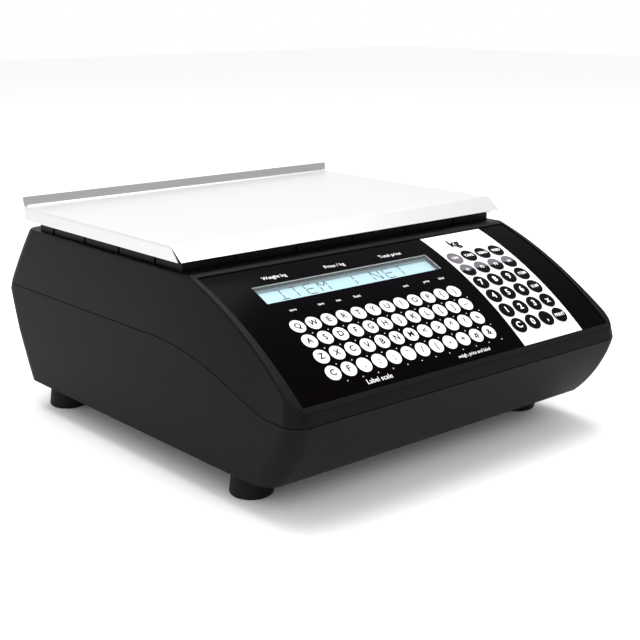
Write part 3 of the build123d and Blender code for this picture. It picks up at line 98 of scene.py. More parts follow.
@dataclass(frozen=True)
class Finish:
    """One finish of the scale: a common material and how its surface was made.

    grain_mm is the size of the pattern's grain, depth_mm the height of its relief and uneven
    the share by which its tint and gloss wander.
    """

    name: str
    tint: str
    roughness: float
    grain: Grain = Grain.MOULDED
    metallic: float = 0.0
    specular: float = 0.5
    grain_mm: float = 0.5
    depth_mm: float = 0.02
    uneven: float = 0.06
    coat: float = 0.0
    alpha: float = 1.0
    glow: float = 0.0
    centre_mm: tuple[float, float, float] = (0.0, 0.0, 0.0)

    def pattern(self, tree: bpy.types.NodeTree) -> bpy.types.NodeSocket:
        """Add the pattern's nodes on Object coordinates.

        Args:
            tree: the material's tree.

        Returns:
            The socket that gives the pattern's height, from 0 to 1.
        """
        place = add_node(tree, "ShaderNodeTexCoord").outputs["Object"]
        per_metre = 1.0 / (self.grain_mm * MM)
        if self.grain is Grain.BRUSHED:
            # the brush runs along X: long streaks, one grain wide
            stretch = add_node(tree, "ShaderNodeMapping", inputs={
                "Vector": place, "Scale": (1 / BRUSH_LENGTH, 1.0, 1.0)})
            noise = add_node(tree, "ShaderNodeTexNoise", inputs={
                "Vector": stretch.outputs[0], "Scale": per_metre, "Detail": 3.0})
            return noise.outputs["Fac"]
        if self.grain is Grain.CAST:
            cells = add_node(tree, "ShaderNodeTexVoronoi", {"feature": "SMOOTH_F1"},
                             {"Vector": place, "Scale": per_metre})
            return cells.outputs["Distance"]
        if self.grain is Grain.WOUND:
            # one ring for each turn of the wound paper, about the roll's own axis
            moved = add_node(tree, "ShaderNodeMapping", inputs={
                "Vector": place, "Location": tuple(-c * MM for c in self.centre_mm)})
            rings = add_node(tree, "ShaderNodeTexWave", {"wave_type": "RINGS", "rings_direction": "Y"},
                             {"Vector": moved.outputs[0], "Scale": per_metre / RING_SCALE,
                              "Distortion": 0.4})
            return rings.outputs["Fac"]
        if self.grain is Grain.ETCHED:
            # copper tracks show as a raised mesh of straight runs under the solder mask
            tracks = add_node(tree, "ShaderNodeTexVoronoi", {"distance": "MANHATTAN", "feature": "F2"},
                              {"Vector": place, "Scale": per_metre, "Randomness": 0.7})
            return tracks.outputs["Distance"]
        noise = add_node(tree, "ShaderNodeTexNoise", inputs={
            "Vector": place, "Scale": per_metre, "Detail": 2.0})
        return noise.outputs["Fac"]

    def material(self) -> bpy.types.Material:
        """Build the node material, unless it has been built already.

        Returns:
            The material with this finish's name.
        """
        made = bpy.data.materials.get(self.name)
        if made:
            return made
        made = bpy.data.materials.new(self.name)
        made.use_nodes = True
        tree = made.node_tree
        tree.nodes.clear()
        height = self.pattern(tree)
        tint = linear(self.tint)
        dark = tuple(c * (1 - self.uneven) for c in tint[:3]) + (1.0,)
        colour = add_node(tree, "ShaderNodeMix", {"data_type": "RGBA"}, {0: height, 6: dark, 7: tint})
        gloss = add_node(tree, "ShaderNodeMapRange", inputs={
            "Value": height, "To Min": self.roughness * (1 - self.uneven),
            "To Max": self.roughness * (1 + self.uneven)})
        bump = add_node(tree, "ShaderNodeBump", inputs={
            "Height": height, "Strength": 1.0, "Distance": self.depth_mm * MM})
        shader = add_node(tree, "ShaderNodeBsdfPrincipled", inputs={
            "Base Color": colour.outputs[2], "Roughness": gloss.outputs[0], "Normal": bump.outputs[0],
            "Metallic": self.metallic, "Specular IOR Level": self.specular, "Coat Weight": self.coat,
            "Alpha": self.alpha, "Emission Color": tint, "Emission Strength": self.glow})
        add_node(tree, "ShaderNodeOutputMaterial", inputs={"Surface": shader.outputs[0]})
        return made


# Black ABS, spark-eroded mould: a dull, slightly grained skin that keeps a soft sheen.
CASING_ABS = Finish("black_moulded_abs", "#110f12", 0.5, specular=0.06, grain_mm=0.7, depth_mm=0.012)
# The cover's ABS comes from a finer mould, so its light is a little tighter.
COVER_ABS = Finish("black_satin_abs", "#0f0d10", 0.42, specular=0.07, grain_mm=0.5, depth_mm=0.008)
# Polyester overlay, printed black on its back: deep, glossy and flat.
BLACK_FILM = Finish("black_polyester_film", "#050305", 0.14, Grain.PRINTED, specular=0.01, grain_mm=6,
                    depth_mm=0.004, uneven=0.1)
# The same film printed white.
WHITE_FILM = Finish("white_polyester_film", "#fbf9fb", 0.24, Grain.PRINTED, specular=0.3, grain_mm=6,
                    depth_mm=0.003, uneven=0.015)
# Screen-printed inks: flatter than the film they lie on.
WHITE_INK = Finish("white_screen_ink", "#f7f5f7", 0.36, Grain.PRINTED, specular=0.3, grain_mm=2,
                   depth_mm=0.002, uneven=0.02)
BLACK_INK = Finish("black_screen_ink", "#0a080a", 0.34, Grain.PRINTED, specular=0.02, grain_mm=2,
                   depth_mm=0.002, uneven=0.06)
GREY_INK = Finish("grey_screen_ink", "#67626a", 0.36, Grain.PRINTED, specular=0.1, grain_mm=2,
                  depth_mm=0.002, uneven=0.04)
# Bare polyester sheet: milky where it lies on another.
CLEAR_FILM = Finish("clear_polyester_film", "#c3c5c0", 0.3, Grain.PRINTED, grain_mm=3, depth_mm=0.003)
# Cast acrylic window: nearly clear, with a sharp reflection.
CLEAR_ACRYLIC = Finish("clear_acrylic", "#e9f3f6", 0.06, Grain.PRINTED, specular=0.3, grain_mm=9,
                       depth_mm=0.001, uneven=0.02, alpha=0.06)
# Backlit liquid crystal: a pale blue field that gives a little light of its own.
LIQUID_CRYSTAL = Finish("backlit_liquid_crystal", "#9fc1cb", 0.3, Grain.PRINTED, specular=0.2, grain_mm=12,
                        depth_mm=0.001, uneven=0.05, glow=0.22)
# The same crystal where it is shaded, and where a segment is driven dark.
CRYSTAL_SHADE = Finish("liquid_crystal_shade", "#6f8b95", 0.35, Grain.PRINTED, specular=0.2, grain_mm=12,
                       depth_mm=0.001, uneven=0.06)
CRYSTAL_SEGMENT = Finish("liquid_crystal_segment", "#2c3a43", 0.4, Grain.PRINTED, specular=0.2, grain_mm=4,
                         depth_mm=0.001, uneven=0.05)
# Stainless sheet, brushed along its width: streaks 0.3 mm apart, drawn that coarse to show.
STAINLESS = Finish("brushed_stainless_sheet", "#f1eff0", 0.34, Grain.BRUSHED, 1.0, grain_mm=0.3,
                   depth_mm=0.0015, uneven=0.05)
# Zinc plate shows its crystals as faint patches about 5 mm across.
ZINC_STEEL = Finish("zinc_plated_steel", "#b4b3ad", 0.36, Grain.CAST, 1.0, grain_mm=5,
                    depth_mm=0.003, uneven=0.14)
# Aluminium left as cast: a pebbled surface that scatters its light.
CAST_ALLOY = Finish("cast_aluminium", "#bcbdc0", 0.48, Grain.CAST, 1.0, grain_mm=1.6,
                    depth_mm=0.04, uneven=0.12)
# Moulded rubber: matt, with no clear reflection.
RUBBER = Finish("black_moulded_rubber", "#121012", 0.66, specular=0.15, grain_mm=0.8, depth_mm=0.02)
# Lacquered circuit board: a green gloss over copper tracks.
SOLDER_MASK = Finish("green_solder_mask", "#1c5934", 0.3, Grain.ETCHED, grain_mm=4.5,
                     depth_mm=0.04, uneven=0.35)
# Glass-filled nylon: the fibres leave a fine grain.
BLACK_NYLON = Finish("black_glass_filled_nylon", "#222124", 0.45, grain_mm=0.4, depth_mm=0.01)
# Machined acetal: a warm white with a waxy sheen.
WHITE_ACETAL = Finish("white_acetal", "#ebe8df", 0.38, specular=0.45, grain_mm=1.2,
                      depth_mm=0.006, uneven=0.03)
# Turned brass: fine tool marks round a warm yellow.
BRASS = Finish("turned_brass", "#c9a052", 0.28, Grain.BRUSHED, 1.0, grain_mm=0.2,
               depth_mm=0.002, uneven=0.08)
# Coated paper on a roll: its edge shows one ring for each turn, drawn 0.6 mm apart to show.
LABEL_PAPER = Finish("thermal_label_paper", "#f4f1ec", 0.6, Grain.WOUND, specular=0.3, grain_mm=0.6,
                     depth_mm=0.05, uneven=0.08, centre_mm=(108.0, 0.0, 74.0))
# The level's vial: a clear tube of tinted spirit.
VIAL = Finish("tinted_level_vial", "#bcd94e", 0.08, Grain.PRINTED, grain_mm=8, depth_mm=0.001, alpha=0.75)
# Matt white studio paper.
STUDIO_FLOOR = Finish("studio_floor_paper", "#ffffff", 0.8, Grain.PRINTED, specular=0.0, grain_mm=40,
                      depth_mm=0.0, uneven=0.004)

NODE_FINISHES: dict[str, Finish] = {
    "base_shell": CASING_ABS, "printer_door": CASING_ABS, "top_cover": COVER_ABS, "lcd_frame": BLACK_NYLON,
    "keypad_overlay": BLACK_FILM, "number_key_overlay": WHITE_FILM,
    "key_spacer_sheet": CLEAR_FILM, "key_circuit_sheet": CLEAR_FILM,
    "display_window": CLEAR_ACRYLIC, "rear_window": CLEAR_ACRYLIC,
    "lcd_glass": LIQUID_CRYSTAL, "rear_lcd_glass": LIQUID_CRYSTAL, "lcd_backlight": WHITE_ACETAL,
    "platter": STAINLESS, "print_head": ZINC_STEEL, "tear_bar": STAINLESS, "door_strike": STAINLESS,
    "snap_domes": STAINLESS, "platter_spider": CAST_ALLOY, "load_cell": CAST_ALLOY,
    "spider_caps": RUBBER, "platen_roller": RUBBER, "foot_front_left": RUBBER, "foot_front_right": RUBBER,
    "foot_rear_left": RUBBER, "foot_rear_right": RUBBER, "main_board": SOLDER_MASK,
    "board_components": BLACK_NYLON, "mains_inlet": BLACK_NYLON, "switch_housing": BLACK_NYLON,
    "switch_rocker": BLACK_NYLON, "network_socket": BLACK_NYLON, "drawer_socket": BLACK_NYLON,
    "door_magnet": BLACK_NYLON, "board_spacers": WHITE_ACETAL, "platen_gear": WHITE_ACETAL,
    "idler_gear": WHITE_ACETAL, "roll_spindle": WHITE_ACETAL, "foot_inserts": BRASS,
    "inlet_pins": BRASS, "platen_bushes": BRASS, "label_roll": LABEL_PAPER, "spirit_level": VIAL,
}


# ------------------------------------------------------------------ meshes
@dataclass
class Surface:
    """Points and faces of one piece, in millimetres, that other surfaces can be joined to."""

    points: np.ndarray = field(default_factory=lambda: np.zeros((0, 3)))
    faces: list[np.ndarray] = field(default_factory=list)

    def join(self, points: np.ndarray, faces: Iterable[Sequence[int]]) -> None:
        """Add more points and faces to this surface.

        Args:
            points: places, one row each.
            faces: index rows that count from the first new point.
        """
        start = len(self.points)
        self.points = np.vstack([self.points, points])
        self.faces += [np.asarray(face) + start for face in faces]

    def piece(self, name: str, finish: Finish, slot: str, body: str) -> bpy.types.Object:
        """Make the Blender object at the origin, dress it and let it ride on a body.

        Args:
            name: the piece's name.
            finish: its finish.
            slot: the record's material slot; not used.
            body: the body it moves with.

        Returns:
            The new object.
        """
        mesh = bpy.data.meshes.new(name)
        mesh.from_pydata((self.points * MM).tolist(), [], [face.tolist() for face in self.faces])
        mesh.validate()
        mesh.materials.append(finish.material())
        mesh.shade_smooth()
        thing = bpy.data.objects.new(name, mesh)
        bpy.context.scene.collection.objects.link(thing)
        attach(thing, body)
        LOG.info("%s: %d points, %d faces", name, len(self.points), len(self.faces))
        return thing


def grid_faces(rows: int, columns: int, wrap: bool = False) -> np.ndarray:
    """Quads of a grid of points in row order.

    Args:
        rows: number of rows of points.
        columns: number of points in a row.
        wrap: whether the last column meets the first.

    Returns:
        One row of four indices for each quad.
    """
    across = columns if wrap else columns - 1
    row, column = np.meshgrid(np.arange(rows - 1), np.arange(across), indexing="ij")
    beside = (column + 1) % columns
    corners = [row * columns + column, row * columns + beside, (row + 1) * columns + beside,
               (row + 1) * columns + column]
    return np.stack([corner.ravel() for corner in corners], axis=1)


def text_outline(words: str, height: float, weight: float) -> tuple[np.ndarray, list[list[int]]]:
    """Flat filled letters as points and faces, centred on the origin.

    Args:
        words: the text.
        height: height of a capital in millimetres.
        weight: how far the strokes grow outwards, as a share of the type's size.

    Returns:
        Points with x to the right and y up, and faces.
    """
    curve = bpy.data.curves.new("lettering", "FONT")
    curve.body = words
    curve.align_x = "CENTER"
    curve.align_y = "CENTER"
    curve.resolution_u = 3
    curve.offset = weight
    holder = bpy.data.objects.new("lettering", curve)
    bpy.context.scene.collection.objects.link(holder)
    bpy.context.view_layer.update()
    mesh = bpy.data.meshes.new_from_object(holder)
    places = np.zeros(len(mesh.vertices) * 3)
    mesh.vertices.foreach_get("co", places)
    faces = [list(polygon.vertices) for polygon in mesh.polygons]
    bpy.data.objects.remove(holder)
    bpy.data.curves.remove(curve)
    bpy.data.meshes.remove(mesh)
    places = places.reshape(-1, 3)[:, :2] * (height / TYPE_CAPITAL)
    return places, faces


# ------------------------------------------------------------------ the sloping panel
@dataclass
class Panel:
    """The sloping front panel: part of one cylinder about an axis along X.

    A place on it is given as x and as the arc length down from the cylinder's top. film and strip
    are the distances of the two overlays' outer faces from the axis.
    """

    radius: float = 385.1
    centre_y: float = 43.09
    centre_z: float = -197.1
    film: float = 384.7
    strip: float = 384.95
    crown: float = 0.16
    key_rings: int = 6
    key_turns: int = 40

    def wrap(self, x: np.ndarray, arc: np.ndarray, radius: np.ndarray | float) -> np.ndarray:
        """Places on the panel: y is the axis less radius times sine, z is the axis plus cosine.

        Args:
            x: places along X.
            arc: arc lengths.
            radius: distances from the axis.

        Returns:
            One row of x, y, z for each place.
        """
        angle = arc / self.radius
        y = self.centre_y - radius * np.sin(angle)
        z = self.centre_z + radius * np.cos(angle)
        return np.stack(np.broadcast_arrays(x, y, z), axis=-1).reshape(-1, 3)

    def disc(self, surface: Surface, x: float, arc: float, size: float, base: float,
             half: bool = False) -> None:
        """Embossed key: rings of radius r whose height is crown times one less (r / size) to the fourth.

        Args:
            surface: where the key is added.
            x: the key's middle.
            arc: the key's middle.
            size: its radius.
            base: distance of its rim from the axis.
            half: whether only its upper half is drawn.
        """
        turns = self.key_turns // 2 + 1 if half else self.key_turns
        ring = np.linspace(0.0, 1.0, self.key_rings)[1:]
        angle = np.linspace(0.0, np.pi, turns) if half else np.arange(turns) * 2 * np.pi / turns
        share, turn = np.meshgrid(ring, angle, indexing="ij")
        height = base + self.crown * (1 - share ** 4)
        points = self.wrap(x + size * share * np.cos(turn), arc - size * share * np.sin(turn), height)
        middle = self.wrap(np.array([x]), np.array([arc]), base + self.crown)
        first = np.arange(turns if not half else turns - 1)
        fan = np.stack([np.zeros_like(first), 1 + first, 1 + (first + 1) % turns], axis=1)
        quads = grid_faces(len(ring), turns, wrap=not half)[:, ::-1] + 1
        surface.join(np.vstack([middle, points]), list(fan) + list(quads))

    def letter(self, surface: Surface, words: str, x: float, arc: float, height: float, base: float,
               weight: float = 0.006) -> None:
        """Text laid on the panel: its x stays and its y runs up the arc.

        Args:
            surface: where the text is added.
            words: the text.
            x: its middle.
            arc: its middle.
            height: height of a capital.
            base: distance from the axis.
            weight: how far the strokes grow outwards.
        """
        flat, faces = text_outline(words, height, weight)
        surface.join(self.wrap(x + flat[:, 0], arc - flat[:, 1], base), faces)


@dataclass
class Keypad:
    """Printed keys of the membrane keypad, with their legends.

    Places are x and arc length, sizes are radii, and each legend has a height and a stroke weight.
    """

    panel: Panel
    letter_first: tuple[float, float] = (-132.0, 203.4)
    letter_pitch: tuple[float, float] = (15.45, 16.1)
    letter_size: float = 6.7
    number_first: tuple[float, float] = (74.6, 165.5)
    number_pitch: tuple[float, float] = (17.8, 17.45)
    number_size: float = 7.9
    ink: float = 0.03
    letter_rise: float = 0.2
    number_rise: float = 0.25
    letter_legend: tuple[float, float] = (5.4, 0.03)
    mark_height: float = 5.0
    mark_offset: tuple[float, float] = (7.7, 7.6)
    number_legend: tuple[float, float] = (6.2, 0.025)
    word_legend: tuple[float, float] = (3.2, 0.025)
    grey_key: tuple[int, int] = (0, 0)
    half_grey_row: int = 1
    letters: tuple[str, ...] = ("QWERTYUIOP{}", "ASDFGHJKL[]~", "ZXCVBNM<>^?=", "CF.:;*/|-+#&")
    numbers: tuple[tuple[str, ...], ...] = (
        ("ON", "TARE", "ZERO", "FEED"), ("F1", "F2", "F3", "F4"), ("7", "8", "9", "ITEM"),
        ("4", "5", "6", "SUM"), ("1", "2", "3", "x"), ("C", "0", ",", "PRINT"))

    def letter_place(self, row: int, column: int) -> tuple[float, float]:
        """Middle of a letter key.

        Args:
            row: row from the top, the first is 0.
            column: column from the left, the first is 0.

        Returns:
            Its x and its arc length.
        """
        return (self.letter_first[0] + self.letter_pitch[0] * column,
                self.letter_first[1] + self.letter_pitch[1] * row)

    def number_place(self, row: int, column: int) -> tuple[float, float]:
        """Middle of a number key.

        Args:
            row: row from the top, the first is 0.
            column: column from the left, the first is 0.

        Returns:
            Its x and its arc length.
        """
        return (self.number_first[0] + self.number_pitch[0] * column,
                self.number_first[1] + self.number_pitch[1] * row)

    def build(self) -> None:
        """Make the letter keys, the number keys and all their legends."""
        caps, legends, marks = Surface(), Surface(), Surface()
        rim = self.panel.film + self.ink
        top = rim + self.letter_rise
        aside, below = self.mark_offset
        for row, line in enumerate(self.letters):
            for column, sign in enumerate(line):
                x, arc = self.letter_place(row, column)
                self.panel.disc(caps, x, arc, self.letter_size, rim)
                height, weight = self.letter_legend
                self.panel.letter(legends, sign, x, arc, height, top, weight)
                self.panel.letter(marks, ".", x + aside, arc + below, self.mark_height, rim)
        caps.piece("letter_keys", WHITE_INK, "overlay_white", "casing")
        legends.piece("letter_key_legends", BLACK_INK, "overlay_black", "casing")
        marks.piece("letter_key_marks", WHITE_INK, "overlay_white", "casing")
        dark, grey, signs = Surface(), Surface(), Surface()
        rim = self.panel.strip + self.ink
        for row, line in enumerate(self.numbers):
            for column, sign in enumerate(line):
                x, arc = self.number_place(row, column)
                whole_grey = (row, column) == self.grey_key
                self.panel.disc(grey if whole_grey else dark, x, arc, self.number_size, rim)
                if row == self.half_grey_row:
                    self.panel.disc(grey, x, arc, self.number_size, rim + self.ink, half=True)
                height, weight = self.number_legend if len(sign) == 1 else self.word_legend
                self.panel.letter(signs, sign, x, arc, height, rim + self.number_rise, weight)
        dark.piece("number_keys", BLACK_INK, "overlay_black", "casing")
        grey.piece("function_keys", GREY_INK, "overlay_black", "casing")
        signs.piece("number_key_legends", WHITE_INK, "overlay_white", "casing")


@dataclass
class Captions:
    """Small generic wording printed on the panel, and the mark on the white strip.

    Each row of wording has an arc length and a height, and each word a place along X.
    """

    panel: Panel
    ink: float = 0.03
    above_row: tuple[float, float] = (144.5, 4.0)
    above: tuple[tuple[str, float], ...] = (
        ("Weight kg", -112.0), ("Price / kg", -49.0), ("Total price", 14.0))
    below_row: tuple[float, float] = (186.0, 2.6)
    below: tuple[tuple[str, float], ...] = (
        ("zero", -124.0), ("tare", -96.0), ("net", -78.0), ("fixed", -58.0),
        ("sum", -4.0), ("print", 20.0), ("label", 38.0))
    foot_arc: float = 266.5
    foot: tuple[tuple[str, float, float], ...] = (
        ("Label scale", -96.0, 4.2), ("weigh, price and label", 8.0, 3.0))
    mark: tuple[str, float, float] = ("kg", 92.0, 145.5)
    mark_height: float = 9.5
    mark_weight: float = 0.03

    def build(self) -> None:
        """Make the captions in white and the strip's mark in black."""
        white, black = Surface(), Surface()
        base = self.panel.film + self.ink
        for (arc, height), row in ((self.above_row, self.above), (self.below_row, self.below)):
            for words, x in row:
                self.panel.letter(white, words, x, arc, height, base)
        for words, x, height in self.foot:
            self.panel.letter(white, words, x, self.foot_arc, height, base)
        self.panel.letter(black, *self.mark, self.mark_height, self.panel.strip + self.ink,
                          self.mark_weight)
        white.piece("panel_captions", WHITE_INK, "overlay_white", "casing")
        black.piece("strip_mark", BLACK_INK, "overlay_black", "casing")


# ------------------------------------------------------------------ displays
class Segment(Enum):
    """Strokes of a fourteen-segment character: ends in a cell of one by one."""

    TOP = (0.0, 1.0, 1.0, 1.0)
    BOTTOM = (0.0, 0.0, 1.0, 0.0)
    LEFT_HIGH = (0.0, 0.5, 0.0, 1.0)
    LEFT_LOW = (0.0, 0.0, 0.0, 0.5)
    RIGHT_HIGH = (1.0, 0.5, 1.0, 1.0)
    RIGHT_LOW = (1.0, 0.0, 1.0, 0.5)
    MIDDLE = (0.0, 0.5, 1.0, 0.5)
    SPINE_HIGH = (0.5, 0.5, 0.5, 1.0)
    SPINE_LOW = (0.5, 0.0, 0.5, 0.5)
    SLANT_LEFT = (0.0, 1.0, 0.5, 0.5)
    SLANT_RIGHT = (0.5, 0.5, 1.0, 1.0)
    SLANT_DOWN = (0.0, 1.0, 1.0, 0.0)


S = Segment
SIDES = (S.LEFT_HIGH, S.LEFT_LOW, S.RIGHT_HIGH, S.RIGHT_LOW)
STROKES: dict[str, tuple[Segment, ...]] = {
    "I": (S.TOP, S.BOTTOM, S.SPINE_HIGH, S.SPINE_LOW),
    "T": (S.TOP, S.SPINE_HIGH, S.SPINE_LOW),
    "E": (S.TOP, S.BOTTOM, S.LEFT_HIGH, S.LEFT_LOW, S.MIDDLE),
    "M": SIDES + (S.SLANT_LEFT, S.SLANT_RIGHT),
    "N": SIDES + (S.SLANT_DOWN,),
    "0": SIDES + (S.TOP, S.BOTTOM),
    "1": (S.RIGHT_HIGH, S.RIGHT_LOW),
    "2": (S.TOP, S.RIGHT_HIGH, S.MIDDLE, S.LEFT_LOW, S.BOTTOM),
    "5": (S.TOP, S.LEFT_HIGH, S.MIDDLE, S.RIGHT_LOW, S.BOTTOM),
}


@dataclass
class Readout:
    """Segment characters that lie on a liquid crystal glass."""

    glass: str
    words: str
    cell: tuple[float, float] = (8.6, 12.4)
    pitch: float = 14.4
    stroke: float = 1.15
    start: float = 0.0
    rise: float = 0.0
    lift: float = 0.05
    tip_gap: float = 0.35
    tip_length: float = 0.5
    flip: bool = False

    def frame_of_glass(self) -> tuple[np.ndarray, np.ndarray, np.ndarray]:
        """Place of the glass's outer face, from its own corners.

        Returns:
            Its middle, its rightward direction and its upward direction.
        """
        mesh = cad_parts[self.glass].data
        places = np.zeros(len(mesh.vertices) * 3)
        mesh.vertices.foreach_get("co", places)
        places = np.unique(np.round(places.reshape(-1, 3) / MM, 3), axis=0)
        side = places[:, 0] > places[:, 0].max() - 0.1
        corners = places[side]
        order = np.argsort(corners[:, 2])
        lowest, highest = corners[order[0]], corners[order[-1]]
        middle = corners.mean(axis=0)
        # a thin slab's long diagonal is nearly its slope: turn it back by the slab's own thickness
        lengths = np.linalg.norm(corners[:, None] - corners[None], axis=2)
        thickness = np.unique(np.round(lengths[lengths > 0.01], 2))[0]
        diagonal = highest - lowest
        tilt = math.asin(thickness / np.linalg.norm(diagonal))
        turn = tilt if self.flip else -tilt
        y, z = diagonal[1], diagonal[2]
        up = np.array([0.0, y * math.cos(turn) - z * math.sin(turn),
                       y * math.sin(turn) + z * math.cos(turn)])
        up /= np.linalg.norm(up)
        right = np.array([-1.0 if self.flip else 1.0, 0.0, 0.0])
        out = np.cross(right, up)
        centre = np.array([(places[:, 0].max() + places[:, 0].min()) / 2, middle[1], middle[2]])
        return centre + out * (thickness / 2 + self.lift), right, up

    def build(self, name: str) -> None:
        """Each stroke is a six-sided bar between two ends, with pointed tips.

        Args:
            name: the piece's name.
        """
        centre, right, up = self.frame_of_glass()
        surface = Surface()
        for index, sign in enumerate(self.words):
            for segment in STROKES.get(sign, ()):
                x0, y0, x1, y1 = segment.value
                size = np.array(self.cell)
                begin = np.array([x0, y0]) * size
                end = np.array([x1, y1]) * size
                along = (end - begin) / np.linalg.norm(end - begin)
                aside = np.array([-along[1], along[0]]) * self.stroke / 2
                gap = along * self.stroke * self.tip_gap
                inset = along * self.stroke * self.tip_length
                a, b = begin + gap, end - gap
                outline = np.array([a, a + inset - aside, b - inset - aside,
                                    b, b - inset + aside, a + inset + aside])
                outline = outline + np.array([self.start + self.pitch * index, self.rise - size[1] / 2])
                points = centre + outline[:, :1] * right + outline[:, 1:] * up
                surface.join(points, [range(6)])
        surface.piece(name, CRYSTAL_SEGMENT, "lcd_blue", "casing")


@dataclass
class DisplayShade:
    """Darker band along the top of the operator's glass, where the window's wall shades it."""

    readout: Readout
    width: float = 189.0
    height: float = 3.6
    top: float = 11.0
    grid: tuple[int, int] = (3, 25)

    def build(self) -> None:
        """A flat grid across the glass: its top lies that far above the glass's middle."""
        centre, right, up = self.readout.frame_of_glass()
        rows, columns = self.grid
        across = np.linspace(-self.width / 2, self.width / 2, columns)
        upward = np.linspace(self.top - self.height, self.top, rows)
        rise, side = np.meshgrid(upward, across, indexing="ij")
        points = centre + side.reshape(-1, 1) * right + rise.reshape(-1, 1) * up
        surface = Surface()
        surface.join(points, grid_faces(len(upward), len(across)))
        surface.piece("display_shade", CRYSTAL_SHADE, "lcd_blue", "casing")


# ------------------------------------------------------------------ printer
@dataclass
class LabelWeb:
    """The strip of labels from the roll to the nip and on to the slot."""

    roll: tuple[float, float] = (108.0, 74.0)
    roll_radius: float = 33.0
    nip: tuple[float, float] = (155.0, 95.57)
    end_x: float = 183.0
    width: float = 58.0
    middle_y: float = 57.0
    paper: float = 0.06
    clear: float = 0.1
    curl_turn: float = 0.9
    curl_points: int = 14
    run_points: int = 10
    ahead_points: int = 8
    across_points: int = 9

    def path(self) -> np.ndarray:
        """Course of the web: a short arc on the roll, a tangent to the nip, then straight to the slot.

        Returns:
            One row of x and z for each point, from the roll to the slot.
        """
        away = np.array(self.nip) - np.array(self.roll)
        reach = np.linalg.norm(away)
        radius = self.roll_radius + self.clear
        touch = math.atan2(away[1], away[0]) + math.acos(radius / reach)
        angles = np.linspace(touch + self.curl_turn, touch, self.curl_points)
        curl = np.array(self.roll) + radius * np.stack([np.cos(angles), np.sin(angles)], axis=1)
        run = np.linspace(curl[-1], np.array(self.nip), self.run_points)[1:]
        ahead = np.linspace(self.nip[0], self.end_x, self.ahead_points)[1:]
        level = np.stack([ahead, np.full_like(ahead, self.nip[1])], axis=1)
        return np.vstack([curl, run, level])

    def build(self) -> None:
        """The path carried along Y, given its paper's thickness by a modifier."""
        path = self.path()
        half = self.width / 2
        across = np.linspace(self.middle_y - half, self.middle_y + half, self.across_points)
        x = np.repeat(path[:, 0], len(across))
        z = np.repeat(path[:, 1], len(across))
        y = np.tile(across, len(path))
        surface = Surface()
        surface.join(np.stack([x, y, z], axis=1), grid_faces(len(path), len(across))[:, ::-1])
        web = surface.piece("label_web", LABEL_PAPER, "label_paper", "casing")
        sheet = web.modifiers.new("paper", "SOLIDIFY")
        sheet.thickness = self.paper * MM
        sheet.offset = 0.0


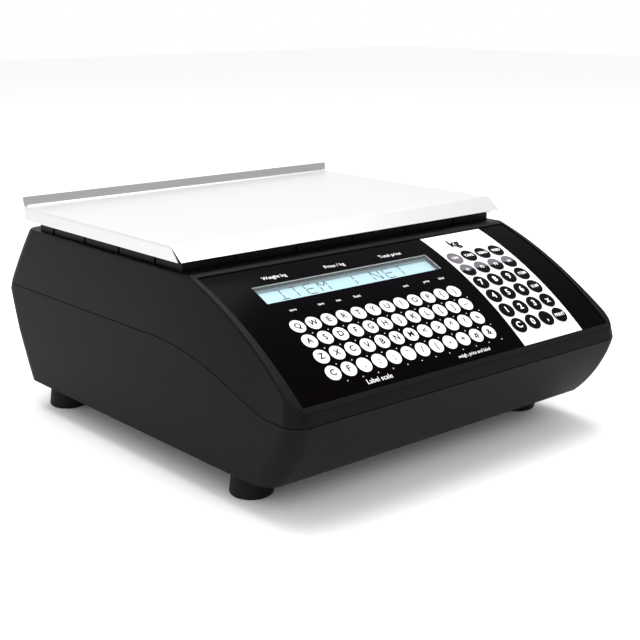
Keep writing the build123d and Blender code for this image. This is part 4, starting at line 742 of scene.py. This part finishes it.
# ------------------------------------------------------------------ studio
@dataclass
class Studio:
    """Pale floor, soft light and the camera.

    The camera's turn and dip are in degrees, its lens and sensor in mm, its eye and reach in metres.
    Each softbox has a place and a side in metres and a power in watts. A reflection's reach runs
    from front_end, where it meets front_light, to rear_end, where it meets rear_light.
    """

    eye: tuple[float, float, float] = (-0.6912, -0.82215, 0.374)
    turn: float = 40.88
    dip: float = 14.99
    lens: float = 68.2
    sensor: float = 36.0
    reach: float = 50.0
    floor_reach: float = 6000.0
    floor_points: int = 13
    overhead: tuple[tuple[float, float, float], float, float] = ((0.1, 0.3, 1.9), 1.8, 34.0)
    front: tuple[tuple[float, float, float], float, float] = ((-1.3, -1.3, 1.2), 1.2, 9.0)
    aim: tuple[float, float, float] = (0.0, 0.0, 0.1)
    fill_light: float = 0.95
    front_light: float = 0.3
    rear_light: float = 0.96
    rear_share: float = 0.6
    front_end: float = -0.25
    rear_end: float = 0.7

    def camera(self) -> None:
        """Camera at the eye, turned from +Y towards +X and dipped below the horizon."""
        data = bpy.data.cameras.new("camera")
        data.lens = self.lens
        data.sensor_width = self.sensor
        data.clip_end = self.reach
        holder = bpy.data.objects.new("camera", data)
        holder.location = self.eye
        holder.rotation_euler = (math.radians(90 - self.dip), 0.0, math.radians(-self.turn))
        bpy.context.scene.collection.objects.link(holder)
        bpy.context.scene.camera = holder

    def floor(self) -> None:
        """A wide flat grid at the level of the feet."""
        side = np.linspace(-self.floor_reach, self.floor_reach, self.floor_points)
        x, y = np.meshgrid(side, side)
        points = np.stack([x.ravel(), y.ravel(), np.zeros(x.size)], axis=1)
        mesh = bpy.data.meshes.new("studio_floor")
        faces = grid_faces(self.floor_points, self.floor_points)
        mesh.from_pydata((points * MM).tolist(), [], faces.tolist())
        mesh.materials.append(STUDIO_FLOOR.material())
        floor = bpy.data.objects.new("studio_floor", mesh)
        bpy.context.scene.collection.objects.link(floor)

    def lamp(self, name: str, place: tuple[float, float, float], size: float, power: float) -> None:
        """A square soft light that looks at the object.

        Args:
            name: the light's name.
            place: where it stands, in metres.
            size: its side in metres.
            power: its power in watts.
        """
        data = bpy.data.lights.new(name, "AREA")
        data.size = size
        data.energy = power
        holder = bpy.data.objects.new(name, data)
        holder.location = place
        sight = Vector(self.aim) - Vector(place)
        holder.rotation_euler = sight.to_track_quat("-Z", "Y").to_euler()
        bpy.context.scene.collection.objects.link(holder)

    def build(self) -> None:
        """Set up the camera, the floor, the lights and a pale surround."""
        self.camera()
        self.floor()
        self.lamp("overhead_softbox", *self.overhead)
        self.lamp("front_softbox", *self.front)
        self.surround()
        bpy.context.scene.view_settings.view_transform = "Standard"

    def surround(self) -> None:
        """White to the eye and even as a light, with a greyer front than rear in reflections."""
        world = bpy.data.worlds.new("surround")
        world.use_nodes = True
        tree = world.node_tree
        tree.nodes.clear()
        white = (1.0, 1.0, 1.0, 1.0)
        ray = add_node(tree, "ShaderNodeLightPath")
        aim = add_node(tree, "ShaderNodeTexCoord").outputs["Generated"]
        parts = add_node(tree, "ShaderNodeSeparateXYZ", inputs={0: aim})
        # a reflection's brightness rises with its height and its reach to the rear
        rear = add_node(tree, "ShaderNodeMath", {"operation": "MULTIPLY_ADD"},
                        {0: parts.outputs["Y"], 1: self.rear_share, 2: parts.outputs["Z"]})
        overhead = add_node(tree, "ShaderNodeMapRange", inputs={
            "Value": rear.outputs[0], "From Min": self.front_end, "From Max": self.rear_end,
            "To Min": self.front_light, "To Max": self.rear_light})
        plain = add_node(tree, "ShaderNodeBackground", inputs={"Color": white, "Strength": self.fill_light})
        mirrored = add_node(tree, "ShaderNodeBackground", inputs={
            "Color": white, "Strength": overhead.outputs[0]})
        seen = add_node(tree, "ShaderNodeBackground", inputs={"Color": white, "Strength": 1.0})
        lit = add_node(tree, "ShaderNodeMixShader", inputs={
            0: ray.outputs["Is Glossy Ray"], 1: plain.outputs[0], 2: mirrored.outputs[0]})
        shown = add_node(tree, "ShaderNodeMixShader", inputs={
            0: ray.outputs["Is Camera Ray"], 1: lit.outputs[0], 2: seen.outputs[0]})
        add_node(tree, "ShaderNodeOutputWorld", inputs={"Surface": shown.outputs[0]})
        bpy.context.scene.world = world


def dress_nodes() -> None:
    """Give every CAD node that shows its finish, through its object's material slots."""
    for name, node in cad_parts.items():
        finish = NODE_FINISHES.get(name, ZINC_STEEL)
        for slot in node.material_slots:
            slot.material = finish.material()
        LOG.info("%s: %s", name, finish.name)


def main() -> None:
    """Build the looks in order."""
    logging.basicConfig(level=logging.INFO)
    Studio().build()
    dress_nodes()
    panel = Panel()
    Keypad(panel).build()
    Captions(panel).build()
    operator = Readout("lcd_glass", "ITEM 1 NET", start=-74.0, rise=2.0)
    operator.build("display_characters")
    DisplayShade(operator).build()
    Readout("rear_lcd_glass", "0 250", start=-33.0, flip=True).build("rear_display_characters")
    LabelWeb().build()


if __name__ == "__main__":
    main()
